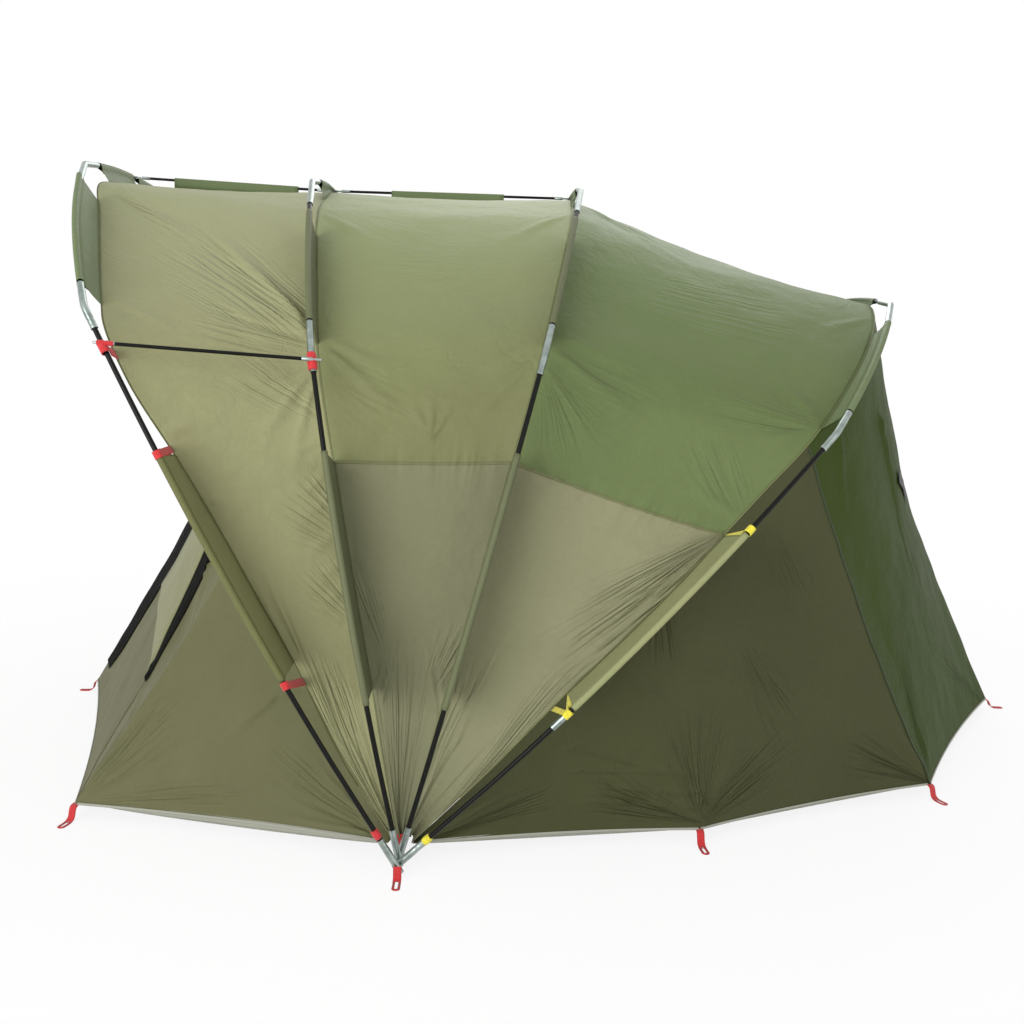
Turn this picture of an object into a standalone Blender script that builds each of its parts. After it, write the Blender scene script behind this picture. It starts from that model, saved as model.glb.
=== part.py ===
"""Bivvy tent on a fan of four hoops, in metres, +X to the rear, +Z up, the ground at Z = 0.

Left and right are as seen by someone looking out of the front.

The four hoops turn on one axis across the tent, through the two hubs at the ground.
Each hoop is a flat frame in a plane through that axis: R is the distance from the axis in that plane.
Everything is modelled from the middle of the hub axis and hangs from an empty that stands there.
"""

import math

import bmesh
import bpy
from mathutils import Matrix, Vector

# Plan on the ground, from the hub axis
HUB_HALF_SPAN = 1.266
HUB_HEIGHT = 0.020
FRONT_PEG_REACH = 1.143
FRONT_CORNER_REACH = 0.800
FRONT_CORNER_HALF_WIDTH = 0.994
FLANK_CORNER_REACH = 0.705
FLANK_CORNER_HALF_WIDTH = 1.080
REAR_CORNER_REACH = 1.386
REAR_CORNER_HALF_WIDTH = 0.776
REAR_PEG_REACH = 1.955
HEM_RISE = 0.038
REAR_CENTRE_RISE = 0.032

# Hoops: each angle is measured up from the ground behind the hub
HOOP_1_DEG = 119.8
HOOP_2_DEG = 101.15
HOOP_3_DEG = 75.2
HOOP_4_DEG = 45.1
HOOP_1_LEG_REACH = 1.383
HOOP_2_LEG_REACH = 1.145
HOOP_3_LEG_EXTRA = 0.025
HOOP_4_LEG_REACH = 1.369
SHOULDER_RISE = 0.452
HOOP_1_SHOULDER_HALF_WIDTH = 1.160
SHOULDER_HALF_WIDTH = 1.080
HOOP_1_LEG_BOW = 0.075
LEG_BOW = 0.095
SHOULDER_BOW = 0.035
TOP_HALF_WIDTH = 0.487
ARCH_RISE = 0.0423

# Poles and steel
POLE_RADIUS = 0.0060
STEEL_RADIUS = 0.0080
STEEL_WALL = 0.0011
ELBOW_BEND_RADIUS = 0.045
LOWER_ELBOW_LEG_ARM = 0.055
LOWER_ELBOW_SIDE_ARM = 0.085
UPPER_ELBOW_SIDE_ARM = 0.160
UPPER_ELBOW_TOP_ARM = 0.120
POLE_INSERTION = 0.028
HUB_TUBE_LENGTH = 0.080
FERRULE_START = 0.466
FERRULE_LENGTH = 0.046
FERRULE_RADIUS = 0.0074
STEP_LENGTH = 0.0011
HUB_TUBE_OVERHANG = 0.013
HUB_TUBE_PITCH = 0.018

# Hub pivots
PIN_RADIUS = 0.0040
PIN_CLEARANCE = 0.0005
PIN_HEAD_RADIUS = 0.0080
PIN_HEAD_THICKNESS = 0.0025
HUB_BRACKET_THICKNESS = 0.0025
HUB_BRACKET_TOP = 0.011

# Tension bars
BAR_RADIUS = 0.0040
BAR_TIP_RADIUS = 0.0028
BAR_TIP_LENGTH = 0.020
BAR_TIP_CHAMFER = 0.0014
SIDE_BAR_FRONT_DROP = 0.095
SIDE_BAR_REAR_DROP = 0.030
SIDE_BAR_OVERHANG = 0.020

# Where cloth is sewn to the poles, as shares of a leg, of a shoulder and of half the top pole's arc
HOOP_1_BAND_SHARES = (0.355, 0.750)
HOOP_2_BAND_SHARES = (0.320, 0.800)
HOOP_3_BAND_SHARES = (0.310, 0.800)
HOOP_4_BAND_SHARES = (0.378, 0.767)
FIRST_LEG_SHARE = 0.20
SHOULDER_STRIP_SHARES = (0.12, 0.43, 0.73)

# Cloth and webbing
CLOTH_THICKNESS = 0.0010
GAP = 0.0003
SEAM_GAP = 0.0007
CLOTH_HUB_REACH = 0.075
CLOTH_HUB_CLEARANCE = 0.006
INNER_WALL_GAP = 0.0007
CLOTH_INSET = 0.130
HOOP_1_INSET_SHARES = (.60, 1.10, 1.13, 1.08, .82, .36, .57, .58, .70, .66, .47, .38, .40, .40)
INNER_HOOP_INSET_SHARES = (.69, .96, 1.00, 1.00, .86, .72, .68, .58, .60, .54, .58, .38, .19, 0)
HOOP_4_INSET_SHARES = (.66, .95, .93, .88, .95, .94, .82, .69, .48, .40, .42, .16, .10, 0)
FLANK_COLUMN = 3
CORNER_COLUMN = 7
PORCH_SAG = 0.004
MID_SAG = 0.010
REAR_SAG = 0.022
TAIL_SAG = 0.022
FRONT_SAG = 0.050
HEM_SAG = 0.018
HEM_LIFT = 0.0002
WEBBING_WIDTH = 0.024
WEBBING_THICKNESS = 0.0025
LOOP_SLOT_WIDTH = 0.010
LOOP_SLOT_END_WALL = 0.007
LOOP_ROOT_LENGTH = 0.020
LOOP_SLOPE_RUN = 0.022
PEG_LOOP_LENGTH = 0.060
LOOP_SLOT_START = 0.003
HUB_LOOP_LENGTH = 0.056

# How finely round and draped shapes are divided
ROUND_SIDES = 12
TUBE_RESOLUTION = 4
BEND_STEPS = 4
ARCH_HALF_STEPS = 7
CLOTH_ROWS = 6
LOOP_END_STEPS = 6
MERGE_DISTANCE = 0.0001
CUTTER_OVERRUN = 0.020

HUB_X = (FRONT_PEG_REACH - REAR_PEG_REACH) / 2
CLOTH_OFFSET = STEEL_RADIUS + GAP + CLOTH_THICKNESS / 2
GROUND = -HUB_HEIGHT
HEM_Z = GROUND + HEM_RISE
REAR_CENTRE_Z = GROUND + REAR_CENTRE_RISE
TOP_TILT = 2 * math.atan(ARCH_RISE / (UPPER_ELBOW_TOP_ARM + TOP_HALF_WIDTH))
TOP_REACH_RISE = SHOULDER_RISE + ARCH_RISE
INNERMOST_TUBE = HUB_HALF_SPAN - 3 * HUB_TUBE_PITCH
CLOTH_HUB_HALF_WIDTH = INNERMOST_TUBE - STEEL_RADIUS - CLOTH_HUB_CLEARANCE
HOOP_3_LEG_REACH = HOOP_2_LEG_REACH + HOOP_3_LEG_EXTRA
SIDES = {"left": -1, "right": 1}


def bowed(start, end, bow, share):
    """The point this share of the way along a line that bows outwards between two flat (R, across) points."""
    way = end - start
    outward = Vector((-way.y, way.x)).normalized()
    return start.lerp(end, share) + outward * bow * 4 * share * (1 - share)


class Hoop:
    """One hoop: its angle, its legs, and its tube's place in the stack on the hub pin."""

    def __init__(self, name, degrees, leg_reach, half_width, bow, band, inset_shares, place):
        self.name = name
        self.angle = math.radians(degrees)
        self.leg_reach = leg_reach
        self.half_width = half_width
        self.bow = bow
        self.band = band
        self.insets = [max(CLOTH_INSET * share, CLOTH_OFFSET) for share in inset_shares]
        self.hub_half_width = HUB_HALF_SPAN - place * HUB_TUBE_PITCH
        self.out = Vector((math.cos(self.angle), 0, math.sin(self.angle)))
        self.forward = Vector((-math.sin(self.angle), 0, math.cos(self.angle)))

    def at(self, reach, across, ahead=0):
        """The point at this reach from the hub axis, this far across, and this far ahead of the hoop's plane."""
        return self.out * reach + Vector((0, across, 0)) + self.forward * ahead

    def corners(self):
        """Hub, lower corner and upper corner of one side, as flat (R, across) points."""
        return [
            Vector((0, self.hub_half_width)),
            Vector((self.leg_reach, self.half_width)),
            Vector((self.leg_reach + SHOULDER_RISE, TOP_HALF_WIDTH)),
        ]

    def leg_points(self):
        """The bowed leg between the hub and the lower corner, with points at both ends of the cloth band."""
        hub, lower, _ = self.corners()
        start, end = self.band
        third = (end - start) / 3
        shares = (FIRST_LEG_SHARE, start, start + third, end - third, end, (1 + end) / 2)
        return [bowed(hub, lower, self.bow, share) for share in shares]

    def shoulder_points(self):
        """The bowed shoulder between its corners, at the ends and the middle of its cloth strip."""
        _, lower, upper = self.corners()
        return [bowed(lower, upper, SHOULDER_BOW, share) for share in SHOULDER_STRIP_SHARES]

    def arch_points(self):
        """The top pole's arc from one elbow to the crown."""
        radius = TOP_HALF_WIDTH - UPPER_ELBOW_TOP_ARM * math.cos(TOP_TILT)
        radius /= math.sin(TOP_TILT)
        crown = self.leg_reach + TOP_REACH_RISE
        arc = []
        for step in range(ARCH_HALF_STEPS, -1, -1):
            turn = TOP_TILT * step / ARCH_HALF_STEPS
            arc.append(Vector((crown - radius * (1 - math.cos(turn)), radius * math.sin(turn))))
        return arc

    def space(self, flat, side, ahead=0):
        """A flat point put in space on one side of the hoop."""
        return self.at(flat.x, side * flat.y, ahead)

    def top_direction(self, side):
        """The way that the top pole leaves the upper elbow."""
        return self.out * math.sin(TOP_TILT) - Vector((0, side * math.cos(TOP_TILT), 0))


HOOPS = [
    Hoop(
        "hoop_1",
        HOOP_1_DEG,
        HOOP_1_LEG_REACH,
        HOOP_1_SHOULDER_HALF_WIDTH,
        HOOP_1_LEG_BOW,
        HOOP_1_BAND_SHARES,
        HOOP_1_INSET_SHARES,
        0,
    ),
    Hoop(
        "hoop_2",
        HOOP_2_DEG,
        HOOP_2_LEG_REACH,
        SHOULDER_HALF_WIDTH,
        LEG_BOW,
        HOOP_2_BAND_SHARES,
        INNER_HOOP_INSET_SHARES,
        2,
    ),
    Hoop(
        "hoop_3",
        HOOP_3_DEG,
        HOOP_3_LEG_REACH,
        SHOULDER_HALF_WIDTH,
        LEG_BOW,
        HOOP_3_BAND_SHARES,
        INNER_HOOP_INSET_SHARES,
        3,
    ),
    Hoop(
        "hoop_4",
        HOOP_4_DEG,
        HOOP_4_LEG_REACH,
        SHOULDER_HALF_WIDTH,
        LEG_BOW,
        HOOP_4_BAND_SHARES,
        HOOP_4_INSET_SHARES,
        1,
    ),
]


def outward_lean(hoop):
    """How far the foot of a hoop's leg leans outwards, as across for each unit of reach."""
    hub, _, _ = hoop.corners()
    first = hoop.leg_points()[0]
    return (first.y - hub.y) / first.x


OUTER_LEAN = outward_lean(HOOPS[0])
INNER_LEAN = outward_lean(HOOPS[2])
STACK_OUTER_FACE = HUB_HALF_SPAN + STEEL_RADIUS * math.hypot(1, OUTER_LEAN)
STACK_OUTER_FACE += (HUB_BRACKET_TOP + STEEL_RADIUS) * abs(OUTER_LEAN)
STACK_INNER_FACE = INNERMOST_TUBE - STEEL_RADIUS * math.hypot(1, INNER_LEAN)
STACK_INNER_FACE -= PIN_HEAD_RADIUS * abs(INNER_LEAN)


def clear_scene():
    for obj in list(bpy.data.objects):
        bpy.data.objects.remove(obj, do_unlink=True)


def collection(name):
    made = bpy.data.collections.new(name)
    bpy.context.scene.collection.children.link(made)
    return made


def material(name, colour, roughness, metallic=0.0):
    made = bpy.data.materials.new(name)
    made.use_nodes = True
    shader = made.node_tree.nodes["Principled BSDF"]
    shader.inputs["Base Color"].default_value = (*colour, 1)
    shader.inputs["Roughness"].default_value = roughness
    shader.inputs["Metallic"].default_value = metallic
    return made


clear_scene()
PARTS = collection("bivvy_tent")
CUTTERS = collection("cutters")
FIBREGLASS = material("fibreglass_pole", (0.012, 0.012, 0.010), 0.35)
STEEL = material("zinc_plated_steel", (0.55, 0.58, 0.56), 0.30, 0.9)
CANOPY = material("olive_polyester", (0.24, 0.26, 0.14), 0.62)
WALL = material("dark_olive_polyester", (0.14, 0.14, 0.07), 0.66)
RED_WEBBING = material("red_webbing", (0.55, 0.02, 0.02), 0.7)


def empty(name, parent=None):
    """An empty at the middle of the hub axis, which its parts hang from."""
    made = bpy.data.objects.new(name, None)
    PARTS.objects.link(made)
    made.parent = parent
    return made


def settle(obj, name, parent, finish):
    """Names an object and gives it its collection, parent and material."""
    for holder in list(obj.users_collection):
        holder.objects.unlink(obj)
    PARTS.objects.link(obj)
    obj.name = name
    obj.parent = parent
    obj.data.materials.clear()
    obj.data.materials.append(finish)
    return obj


def smooth(obj):
    obj.data.shade_smooth()
    obj.data.set_sharp_from_angle(angle=math.radians(35))


def along(start, end):
    """The placing that stands local Z on start and points it at end."""
    way = (end - start).normalized()
    return Matrix.Translation(start) @ way.to_track_quat("Z", "Y").to_matrix().to_4x4()


def mesh_object(name, mesh):
    obj = bpy.data.objects.new(name, mesh)
    PARTS.objects.link(obj)
    return obj


def rod(name, start, end, radius, parent, finish):
    """A plain round pole."""
    bpy.ops.mesh.primitive_cylinder_add(
        vertices=ROUND_SIDES, radius=radius, depth=(end - start).length
    )
    obj = bpy.context.object
    settle(obj, name, parent, finish)
    obj.matrix_basis = along((start + end) / 2, end)
    smooth(obj)
    return obj


def turned(name, profile, placing, parent, finish):
    """A turned piece: the profile's (radius, height) points, from the top down, spun about local Z."""
    mesh = bpy.data.meshes.new(name)
    points = [(radius, 0, height) for radius, height in profile]
    mesh.from_pydata(points, [(i, i + 1) for i in range(len(points) - 1)], [])
    obj = mesh_object(name, mesh)
    screw = obj.modifiers.new("turn", "SCREW")
    screw.steps = ROUND_SIDES
    screw.render_steps = ROUND_SIDES
    screw.use_merge_vertices = True
    screw.merge_threshold = MERGE_DISTANCE
    screw.use_smooth_shade = False
    settle(obj, name, parent, finish)
    obj.matrix_basis = placing
    return obj


def path_curve(name, points, radius, capped, swells=None):
    """A round tube or rod along a path of straight steps, with its radius scaled at each point by swells."""
    curve = bpy.data.curves.new(name, "CURVE")
    curve.dimensions = "3D"
    curve.bevel_depth = radius
    curve.bevel_resolution = TUBE_RESOLUTION
    curve.use_fill_caps = capped
    spline = curve.splines.new("POLY")
    spline.points.add(len(points) - 1)
    for place, point, swell in zip(spline.points, points, swells or [1] * len(points)):
        place.co = (*point, 1)
        place.radius = swell
    obj = bpy.data.objects.new(name, curve)
    PARTS.objects.link(obj)
    return obj


def as_mesh(obj):
    """The curve as a mesh with its doubles welded, in the curve's place."""
    bpy.context.view_layer.update()
    graph = bpy.context.evaluated_depsgraph_get()
    mesh = bpy.data.meshes.new_from_object(obj.evaluated_get(graph))
    made = mesh_object(obj.name + "_mesh", mesh)
    made.matrix_world = obj.matrix_world
    shape = bmesh.new()
    shape.from_mesh(mesh)
    bmesh.ops.remove_doubles(shape, verts=shape.verts, dist=MERGE_DISTANCE)
    bmesh.ops.recalc_face_normals(shape, faces=shape.faces)
    shape.to_mesh(mesh)
    shape.free()
    bpy.data.objects.remove(obj, do_unlink=True)
    return made


def arc_between(before, corner, after, radius, steps):
    """The points of a round bend of this radius where two straight runs meet at the corner."""
    came = (corner - before).normalized()
    goes = (after - corner).normalized()
    turn = came.angle(goes)
    tangent = radius * math.tan(turn / 2)
    inward = (goes - came).normalized()
    centre = corner + inward * (radius / math.cos(turn / 2))
    first = (corner - came * tangent - centre).normalized()
    last = (corner + goes * tangent - centre).normalized()
    return [centre + first.slerp(last, i / steps) * radius for i in range(steps + 1)]


def elbow(name, corner, first, first_arm, second, second_arm, parent):
    """A bent steel tube whose arms run from the corner towards two points."""
    start = corner + (first - corner).normalized() * first_arm
    end = corner + (second - corner).normalized() * second_arm
    bend = arc_between(start, corner, end, ELBOW_BEND_RADIUS, BEND_STEPS)
    obj = as_mesh(path_curve(name, [start, *bend, end], STEEL_RADIUS, False))
    wall = obj.modifiers.new("wall", "SOLIDIFY")
    wall.thickness = STEEL_WALL
    wall.offset = -1
    settle(obj, name, parent, STEEL)
    smooth(obj)
    return obj


def cut(obj, cutter):
    bore = obj.modifiers.new("bore", "BOOLEAN")
    bore.operation = "DIFFERENCE"
    bore.object = cutter


def as_cutter(obj, name):
    for holder in list(obj.users_collection):
        holder.objects.unlink(obj)
    CUTTERS.objects.link(obj)
    obj.name = name
    obj.hide_render = True
    obj.display_type = "WIRE"
    return obj


def hub_bore_cutter():
    """One bore right across the tent, on the hub axis, with running clearance on the hub pins."""
    bpy.ops.mesh.primitive_cylinder_add(
        vertices=ROUND_SIDES,
        radius=(PIN_RADIUS + PIN_CLEARANCE) / math.cos(math.pi / ROUND_SIDES),
        depth=2 * (HUB_HALF_SPAN + STEEL_RADIUS + CUTTER_OVERRUN),
    )
    obj = as_cutter(bpy.context.object, "hub_bore_cutter")
    obj.rotation_euler.x = math.pi / 2
    obj.parent = TENT
    return obj


def pole(name, points, parent, swells=None):
    """A round fibreglass pole along a path."""
    obj = as_mesh(path_curve(name, points, POLE_RADIUS, True, swells))
    settle(obj, name, parent, FIBREGLASS)
    smooth(obj)
    return obj


def leg(hoop, side_name, side, pivot, bore, ferrule):
    """A fibreglass leg with its crimped steel hub tube, and on one hoop the ferrule that joins its two lengths."""
    hub, lower, _ = hoop.corners()
    bends = hoop.leg_points()
    way = (bends[0] - hub).normalized()
    steel = STEEL_RADIUS / POLE_RADIUS
    stations = [
        (hub - way * HUB_TUBE_OVERHANG, steel),
        (hub, steel),
        (hub + way * HUB_TUBE_LENGTH, steel),
        (hub + way * (HUB_TUBE_LENGTH + STEP_LENGTH), 1),
        (bends[0], 1),
    ]
    if ferrule:
        on_way = (bends[1] - bends[0]).normalized()
        start = bends[0] + on_way * (FERRULE_START - (bends[0] - hub).length)
        swell = FERRULE_RADIUS / POLE_RADIUS
        stations += [
            (start - on_way * STEP_LENGTH, 1),
            (start, swell),
            (start + on_way * FERRULE_LENGTH, swell),
            (start + on_way * (FERRULE_LENGTH + STEP_LENGTH), 1),
        ]
    stations += [(bend, 1) for bend in bends[1:]]
    down = (bends[-1] - lower).normalized()
    stations.append((lower + down * (LOWER_ELBOW_LEG_ARM - POLE_INSERTION), 1))
    points = [hoop.space(place, side) for place, _ in stations]
    swells = [swell for _, swell in stations]
    obj = pole(f"{hoop.name}_leg_{side_name}", points, pivot, swells)
    cut(obj, bore)
    return obj


def side_of_hoop(hoop, side_name, side, pivot, bore):
    """A leg, the lower elbow, the shoulder pole and the upper elbow."""
    _, lower, upper = hoop.corners()
    leg(hoop, side_name, side, pivot, bore, hoop is HOOPS[-1])
    shoulder = hoop.shoulder_points()
    elbow(
        f"{hoop.name}_lower_elbow_{side_name}",
        hoop.space(lower, side),
        hoop.space(hoop.leg_points()[-1], side),
        LOWER_ELBOW_LEG_ARM,
        hoop.space(shoulder[0], side),
        LOWER_ELBOW_SIDE_ARM,
        pivot,
    )
    up = (shoulder[0] - lower).normalized()
    down = (shoulder[-1] - upper).normalized()
    path = [lower + up * (LOWER_ELBOW_SIDE_ARM - POLE_INSERTION), *shoulder]
    path.append(upper + down * (UPPER_ELBOW_SIDE_ARM - POLE_INSERTION))
    points = [hoop.space(place, side) for place in path]
    pole(f"{hoop.name}_shoulder_pole_{side_name}", points, pivot)
    elbow(
        f"{hoop.name}_upper_elbow_{side_name}",
        hoop.space(upper, side),
        hoop.space(shoulder[-1], side),
        UPPER_ELBOW_SIDE_ARM,
        hoop.space(upper, side) + hoop.top_direction(side),
        UPPER_ELBOW_TOP_ARM,
        pivot,
    )


def top_pole(hoop, pivot):
    """The top pole: straight in each elbow, and one arc between them."""
    half = hoop.arch_points()
    points = [hoop.space(half[0], -1) - hoop.top_direction(-1) * POLE_INSERTION]
    points += [hoop.space(place, -1) for place in half]
    points += [hoop.space(place, 1) for place in half[-2::-1]]
    points.append(hoop.space(half[0], 1) - hoop.top_direction(1) * POLE_INSERTION)
    pole(f"{hoop.name}_top_pole", points, pivot)


def bar_profile(length):
    """A tension bar of this length from its first tip to its last, with a thin steel tip at each end."""
    return [
        (0, length),
        (BAR_TIP_RADIUS - BAR_TIP_CHAMFER, length),
        (BAR_TIP_RADIUS, length - BAR_TIP_CHAMFER),
        (BAR_TIP_RADIUS, length - BAR_TIP_LENGTH),
        (BAR_RADIUS, length - BAR_TIP_LENGTH),
        (BAR_RADIUS, BAR_TIP_LENGTH),
        (BAR_TIP_RADIUS, BAR_TIP_LENGTH),
        (BAR_TIP_RADIUS, BAR_TIP_CHAMFER),
        (BAR_TIP_RADIUS - BAR_TIP_CHAMFER, 0),
        (0, 0),
    ]


def top_bar(name, rear, front, pivot):
    """A bar over the roof, from just ahead of the rear hoop's crown to just behind the front hoop's."""
    reach = POLE_RADIUS + GAP
    rear_crown = rear.at(rear.leg_reach + TOP_REACH_RISE, 0)
    front_crown = front.at(front.leg_reach + TOP_REACH_RISE, 0)
    way = (front_crown - rear_crown).normalized()
    start = rear_crown + way * reach
    end = front_crown - way * reach
    turned(name, bar_profile((end - start).length), along(start, end), pivot, FIBREGLASS)


def seat_on_leg(hoop, side, drop):
    """The point this far down a leg from its lower corner, and the way down the leg there."""
    _, lower, _ = hoop.corners()
    corner = hoop.space(lower, side)
    down = (hoop.space(hoop.leg_points()[-1], side) - corner).normalized()
    return corner + down * drop, down


def side_bar(name, side, rear, front, pivot):
    """A bar outside the legs of two hoops, with its tips past them."""
    rear_point, rear_down = seat_on_leg(rear, side, SIDE_BAR_REAR_DROP)
    front_point, _ = seat_on_leg(front, side, SIDE_BAR_FRONT_DROP)
    way = (front_point - rear_point).normalized()
    outward = way.cross(rear_down).normalized()
    outward *= math.copysign(1, outward.y * side)
    rear_seat = rear_point + outward * (STEEL_RADIUS + BAR_RADIUS + GAP)
    front_seat = front_point + outward * (POLE_RADIUS + BAR_RADIUS + GAP)
    way = (front_seat - rear_seat).normalized()
    start = rear_seat - way * SIDE_BAR_OVERHANG
    end = front_seat + way * SIDE_BAR_OVERHANG
    turned(name, bar_profile((end - start).length), along(start, end), pivot, FIBREGLASS)


def hub_pin(side_name, side):
    """The pin through a hub's four tubes and its ground bracket, with a head at each end."""
    inner = STACK_INNER_FACE - GAP
    outer = STACK_OUTER_FACE + HUB_BRACKET_THICKNESS + 2 * GAP
    profile = [
        (0, outer + PIN_HEAD_THICKNESS),
        (PIN_HEAD_RADIUS, outer + PIN_HEAD_THICKNESS),
        (PIN_HEAD_RADIUS, outer),
        (PIN_RADIUS, outer),
        (PIN_RADIUS, inner),
        (PIN_HEAD_RADIUS, inner),
        (PIN_HEAD_RADIUS, inner - PIN_HEAD_THICKNESS),
        (0, inner - PIN_HEAD_THICKNESS),
    ]
    placing = along(Vector((0, 0, 0)), Vector((0, side, 0)))
    turned(f"hub_pin_{side_name}", profile, placing, TENT, STEEL)


def loop_outline(length, slot_start):
    """The outline of a flat webbing loop along +Y, and its slot, as two rings of points."""
    half = WEBBING_WIDTH / 2
    slot = LOOP_SLOT_WIDTH / 2
    outer_centre = length - half
    slot_end = length - LOOP_SLOT_END_WALL - slot
    turns = [math.pi * i / LOOP_END_STEPS for i in range(LOOP_END_STEPS + 1)]
    outer = [(-half, 0), (half, 0)]
    outer += [(half * math.cos(t), outer_centre + half * math.sin(t)) for t in turns]
    inner = [(slot * math.cos(t), slot_end + slot * math.sin(t)) for t in turns]
    inner += [(-slot, slot_start), (slot, slot_start)]
    return outer, inner


def flat_loop(name, length, slot_start, thickness):
    """A flat loop of webbing with its slot, lying in local XY from z = 0 up, as a mesh."""
    curve = bpy.data.curves.new(name, "CURVE")
    curve.dimensions = "2D"
    curve.fill_mode = "BOTH"
    curve.extrude = thickness / 2
    for ring in loop_outline(length, slot_start):
        spline = curve.splines.new("POLY")
        spline.points.add(len(ring) - 1)
        spline.use_cyclic_u = True
        for place, (x, y) in zip(spline.points, ring):
            place.co = (x, y, 0, 1)
    obj = bpy.data.objects.new(name, curve)
    PARTS.objects.link(obj)
    made = as_mesh(obj)
    made.data.transform(Matrix.Translation((0, 0, thickness / 2)))
    return made


def bend_down(obj, bends):
    """Bends a flat strip that runs along +Y at its (y, z) path points, keeping its thickness."""
    shape = bmesh.new()
    shape.from_mesh(obj.data)
    run = 0
    marks = []
    for before, after in zip(bends, bends[1:]):
        run += (after - before).length
        marks.append(run)
        whole = [*shape.verts, *shape.edges, *shape.faces]
        bmesh.ops.bisect_plane(shape, geom=whole, plane_co=(0, run, 0), plane_no=(0, 1, 0))
    ways = [(after - before).normalized() for before, after in zip(bends, bends[1:])]
    for vert in shape.verts:
        passed = [i for i, mark in enumerate(marks[:-1]) if vert.co.y > mark + MERGE_DISTANCE]
        leg_index = len(passed)
        way = ways[leg_index]
        start = marks[leg_index - 1] if leg_index else 0
        normal = Vector((-way.y, way.x))
        if leg_index < len(ways) - 1 and abs(vert.co.y - marks[leg_index]) < MERGE_DISTANCE:
            onward = ways[leg_index + 1]
            mitre = (normal + Vector((-onward.y, onward.x))).normalized()
            normal = mitre / mitre.dot(normal)
        place = bends[leg_index] + way * (vert.co.y - start) + normal * vert.co.z
        vert.co = (vert.co.x, place.x, place.y)
    shape.to_mesh(obj.data)
    shape.free()


def peg_loop(name, corner, outward, parent):
    """A webbing loop from under the hem's corner down to the ground, with the slot for its peg in its flat foot."""
    drop = corner.z - GROUND - HEM_LIFT - GAP - WEBBING_THICKNESS
    foot_start = LOOP_ROOT_LENGTH + LOOP_SLOPE_RUN
    slope = math.hypot(LOOP_SLOPE_RUN, drop)
    foot = PEG_LOOP_LENGTH - LOOP_SLOPE_RUN
    slot_start = LOOP_ROOT_LENGTH + slope + LOOP_SLOT_START
    obj = flat_loop(name, LOOP_ROOT_LENGTH + slope + foot, slot_start, WEBBING_THICKNESS)
    bends = [
        Vector((0, drop)),
        Vector((LOOP_ROOT_LENGTH, drop)),
        Vector((foot_start, 0)),
        Vector((foot_start + foot, 0)),
    ]
    bend_down(obj, bends)
    settle(obj, name, parent, RED_WEBBING)
    way = Vector((*outward, 0))
    start = Vector((corner.x, corner.y, GROUND)) - way * LOOP_ROOT_LENGTH
    turn = math.atan2(-way.x, way.y)
    obj.matrix_basis = Matrix.Translation(start) @ Matrix.Rotation(turn, 4, "Z")
    return obj


def hub_loop(side_name, side, bore):
    """The hub's webbing: an upright eye on the outer end of the pin, and a loop on the ground for its peg."""
    inner = STACK_OUTER_FACE + GAP
    name = f"hub_loop_{side_name}"
    foot = flat_loop(name, HUB_LOOP_LENGTH, HUB_BRACKET_THICKNESS * 3, WEBBING_THICKNESS)
    settle(foot, name, TENT, RED_WEBBING)
    turn = math.pi / 2 - side * math.pi / 2
    foot.matrix_basis = Matrix.Translation((0, side * inner, GROUND)) @ Matrix.Rotation(
        turn, 4, "Z"
    )
    height = HUB_HEIGHT + HUB_BRACKET_TOP
    bpy.ops.mesh.primitive_cube_add(size=1)
    plate = as_cutter(bpy.context.object, name + "_eye")
    plate.data.transform(
        Matrix.Diagonal((WEBBING_WIDTH, HUB_BRACKET_THICKNESS, height, 1))
    )
    plate.location = (
        0,
        side * (inner + HUB_BRACKET_THICKNESS / 2),
        GROUND + height / 2,
    )
    plate.parent = TENT
    join = foot.modifiers.new("join", "BOOLEAN")
    join.operation = "UNION"
    join.object = plate
    cut(foot, bore)
    return foot


def half_line(hoop):
    """The hoop's middle line at the cloth's columns, from the first one past the hub to the crown."""
    _, lower, upper = hoop.corners()
    arch = hoop.arch_points()
    step = (len(arch) - 1) // 2
    line = [*hoop.leg_points(), lower, *hoop.shoulder_points(), upper]
    return line + [arch[1], arch[step + 1], arch[-1]]


def outward_normals(line):
    """The outward normal at each point of a half outline."""
    found = []
    for i, _ in enumerate(line):
        way = line[min(i + 1, len(line) - 1)] - line[max(i - 1, 0)]
        found.append(Vector((-way.y, way.x)).normalized())
    found[-1] = Vector((1, 0))
    return found


def half_outline(hoop, offset):
    """The cloth's line inside a hoop, from hub to crown, as flat (R, across) points, drawn in by offset more."""
    line = half_line(hoop)
    normals = outward_normals(line)
    drawn = [p - n * (inset + offset) for p, n, inset in zip(line, normals, hoop.insets)]
    return [Vector((CLOTH_HUB_REACH, CLOTH_HUB_HALF_WIDTH - offset)), *drawn]


def mirrored(points, vectors):
    """Both sides of a rail, from the left hub over the crown to the right hub."""

    def flip(v):
        return Vector((v.x, -v.y, v.z))

    left = [flip(p) for p in points]
    left_ways = [flip(v) for v in vectors]
    return left + points[-2::-1], left_ways + vectors[-2::-1]


def on_hoop(hoop, line, ahead):
    """A line of flat points put on a hoop, both sides of it, with its outward ways."""
    points = [hoop.at(p.x, p.y, ahead) for p in line]
    ways = [hoop.out * n.x + Vector((0, n.y, 0)) for n in outward_normals(line)]
    return mirrored(points, ways)


def hoop_rail(hoop, offset, ahead):
    """A cloth's edge inside a hoop: its points and their outward ways."""
    return on_hoop(hoop, half_outline(hoop, offset), ahead)


def pole_rail(hoop, ahead):
    """The line along a hoop's poles where the bands and strips of cloth are sewn on."""
    line = half_line(hoop)
    normals = outward_normals(line)
    reach = POLE_RADIUS + GAP
    edge = [p - n * reach for p, n in zip(line, normals)]
    return on_hoop(hoop, [half_outline(hoop, 0)[0], *edge], ahead)


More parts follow.
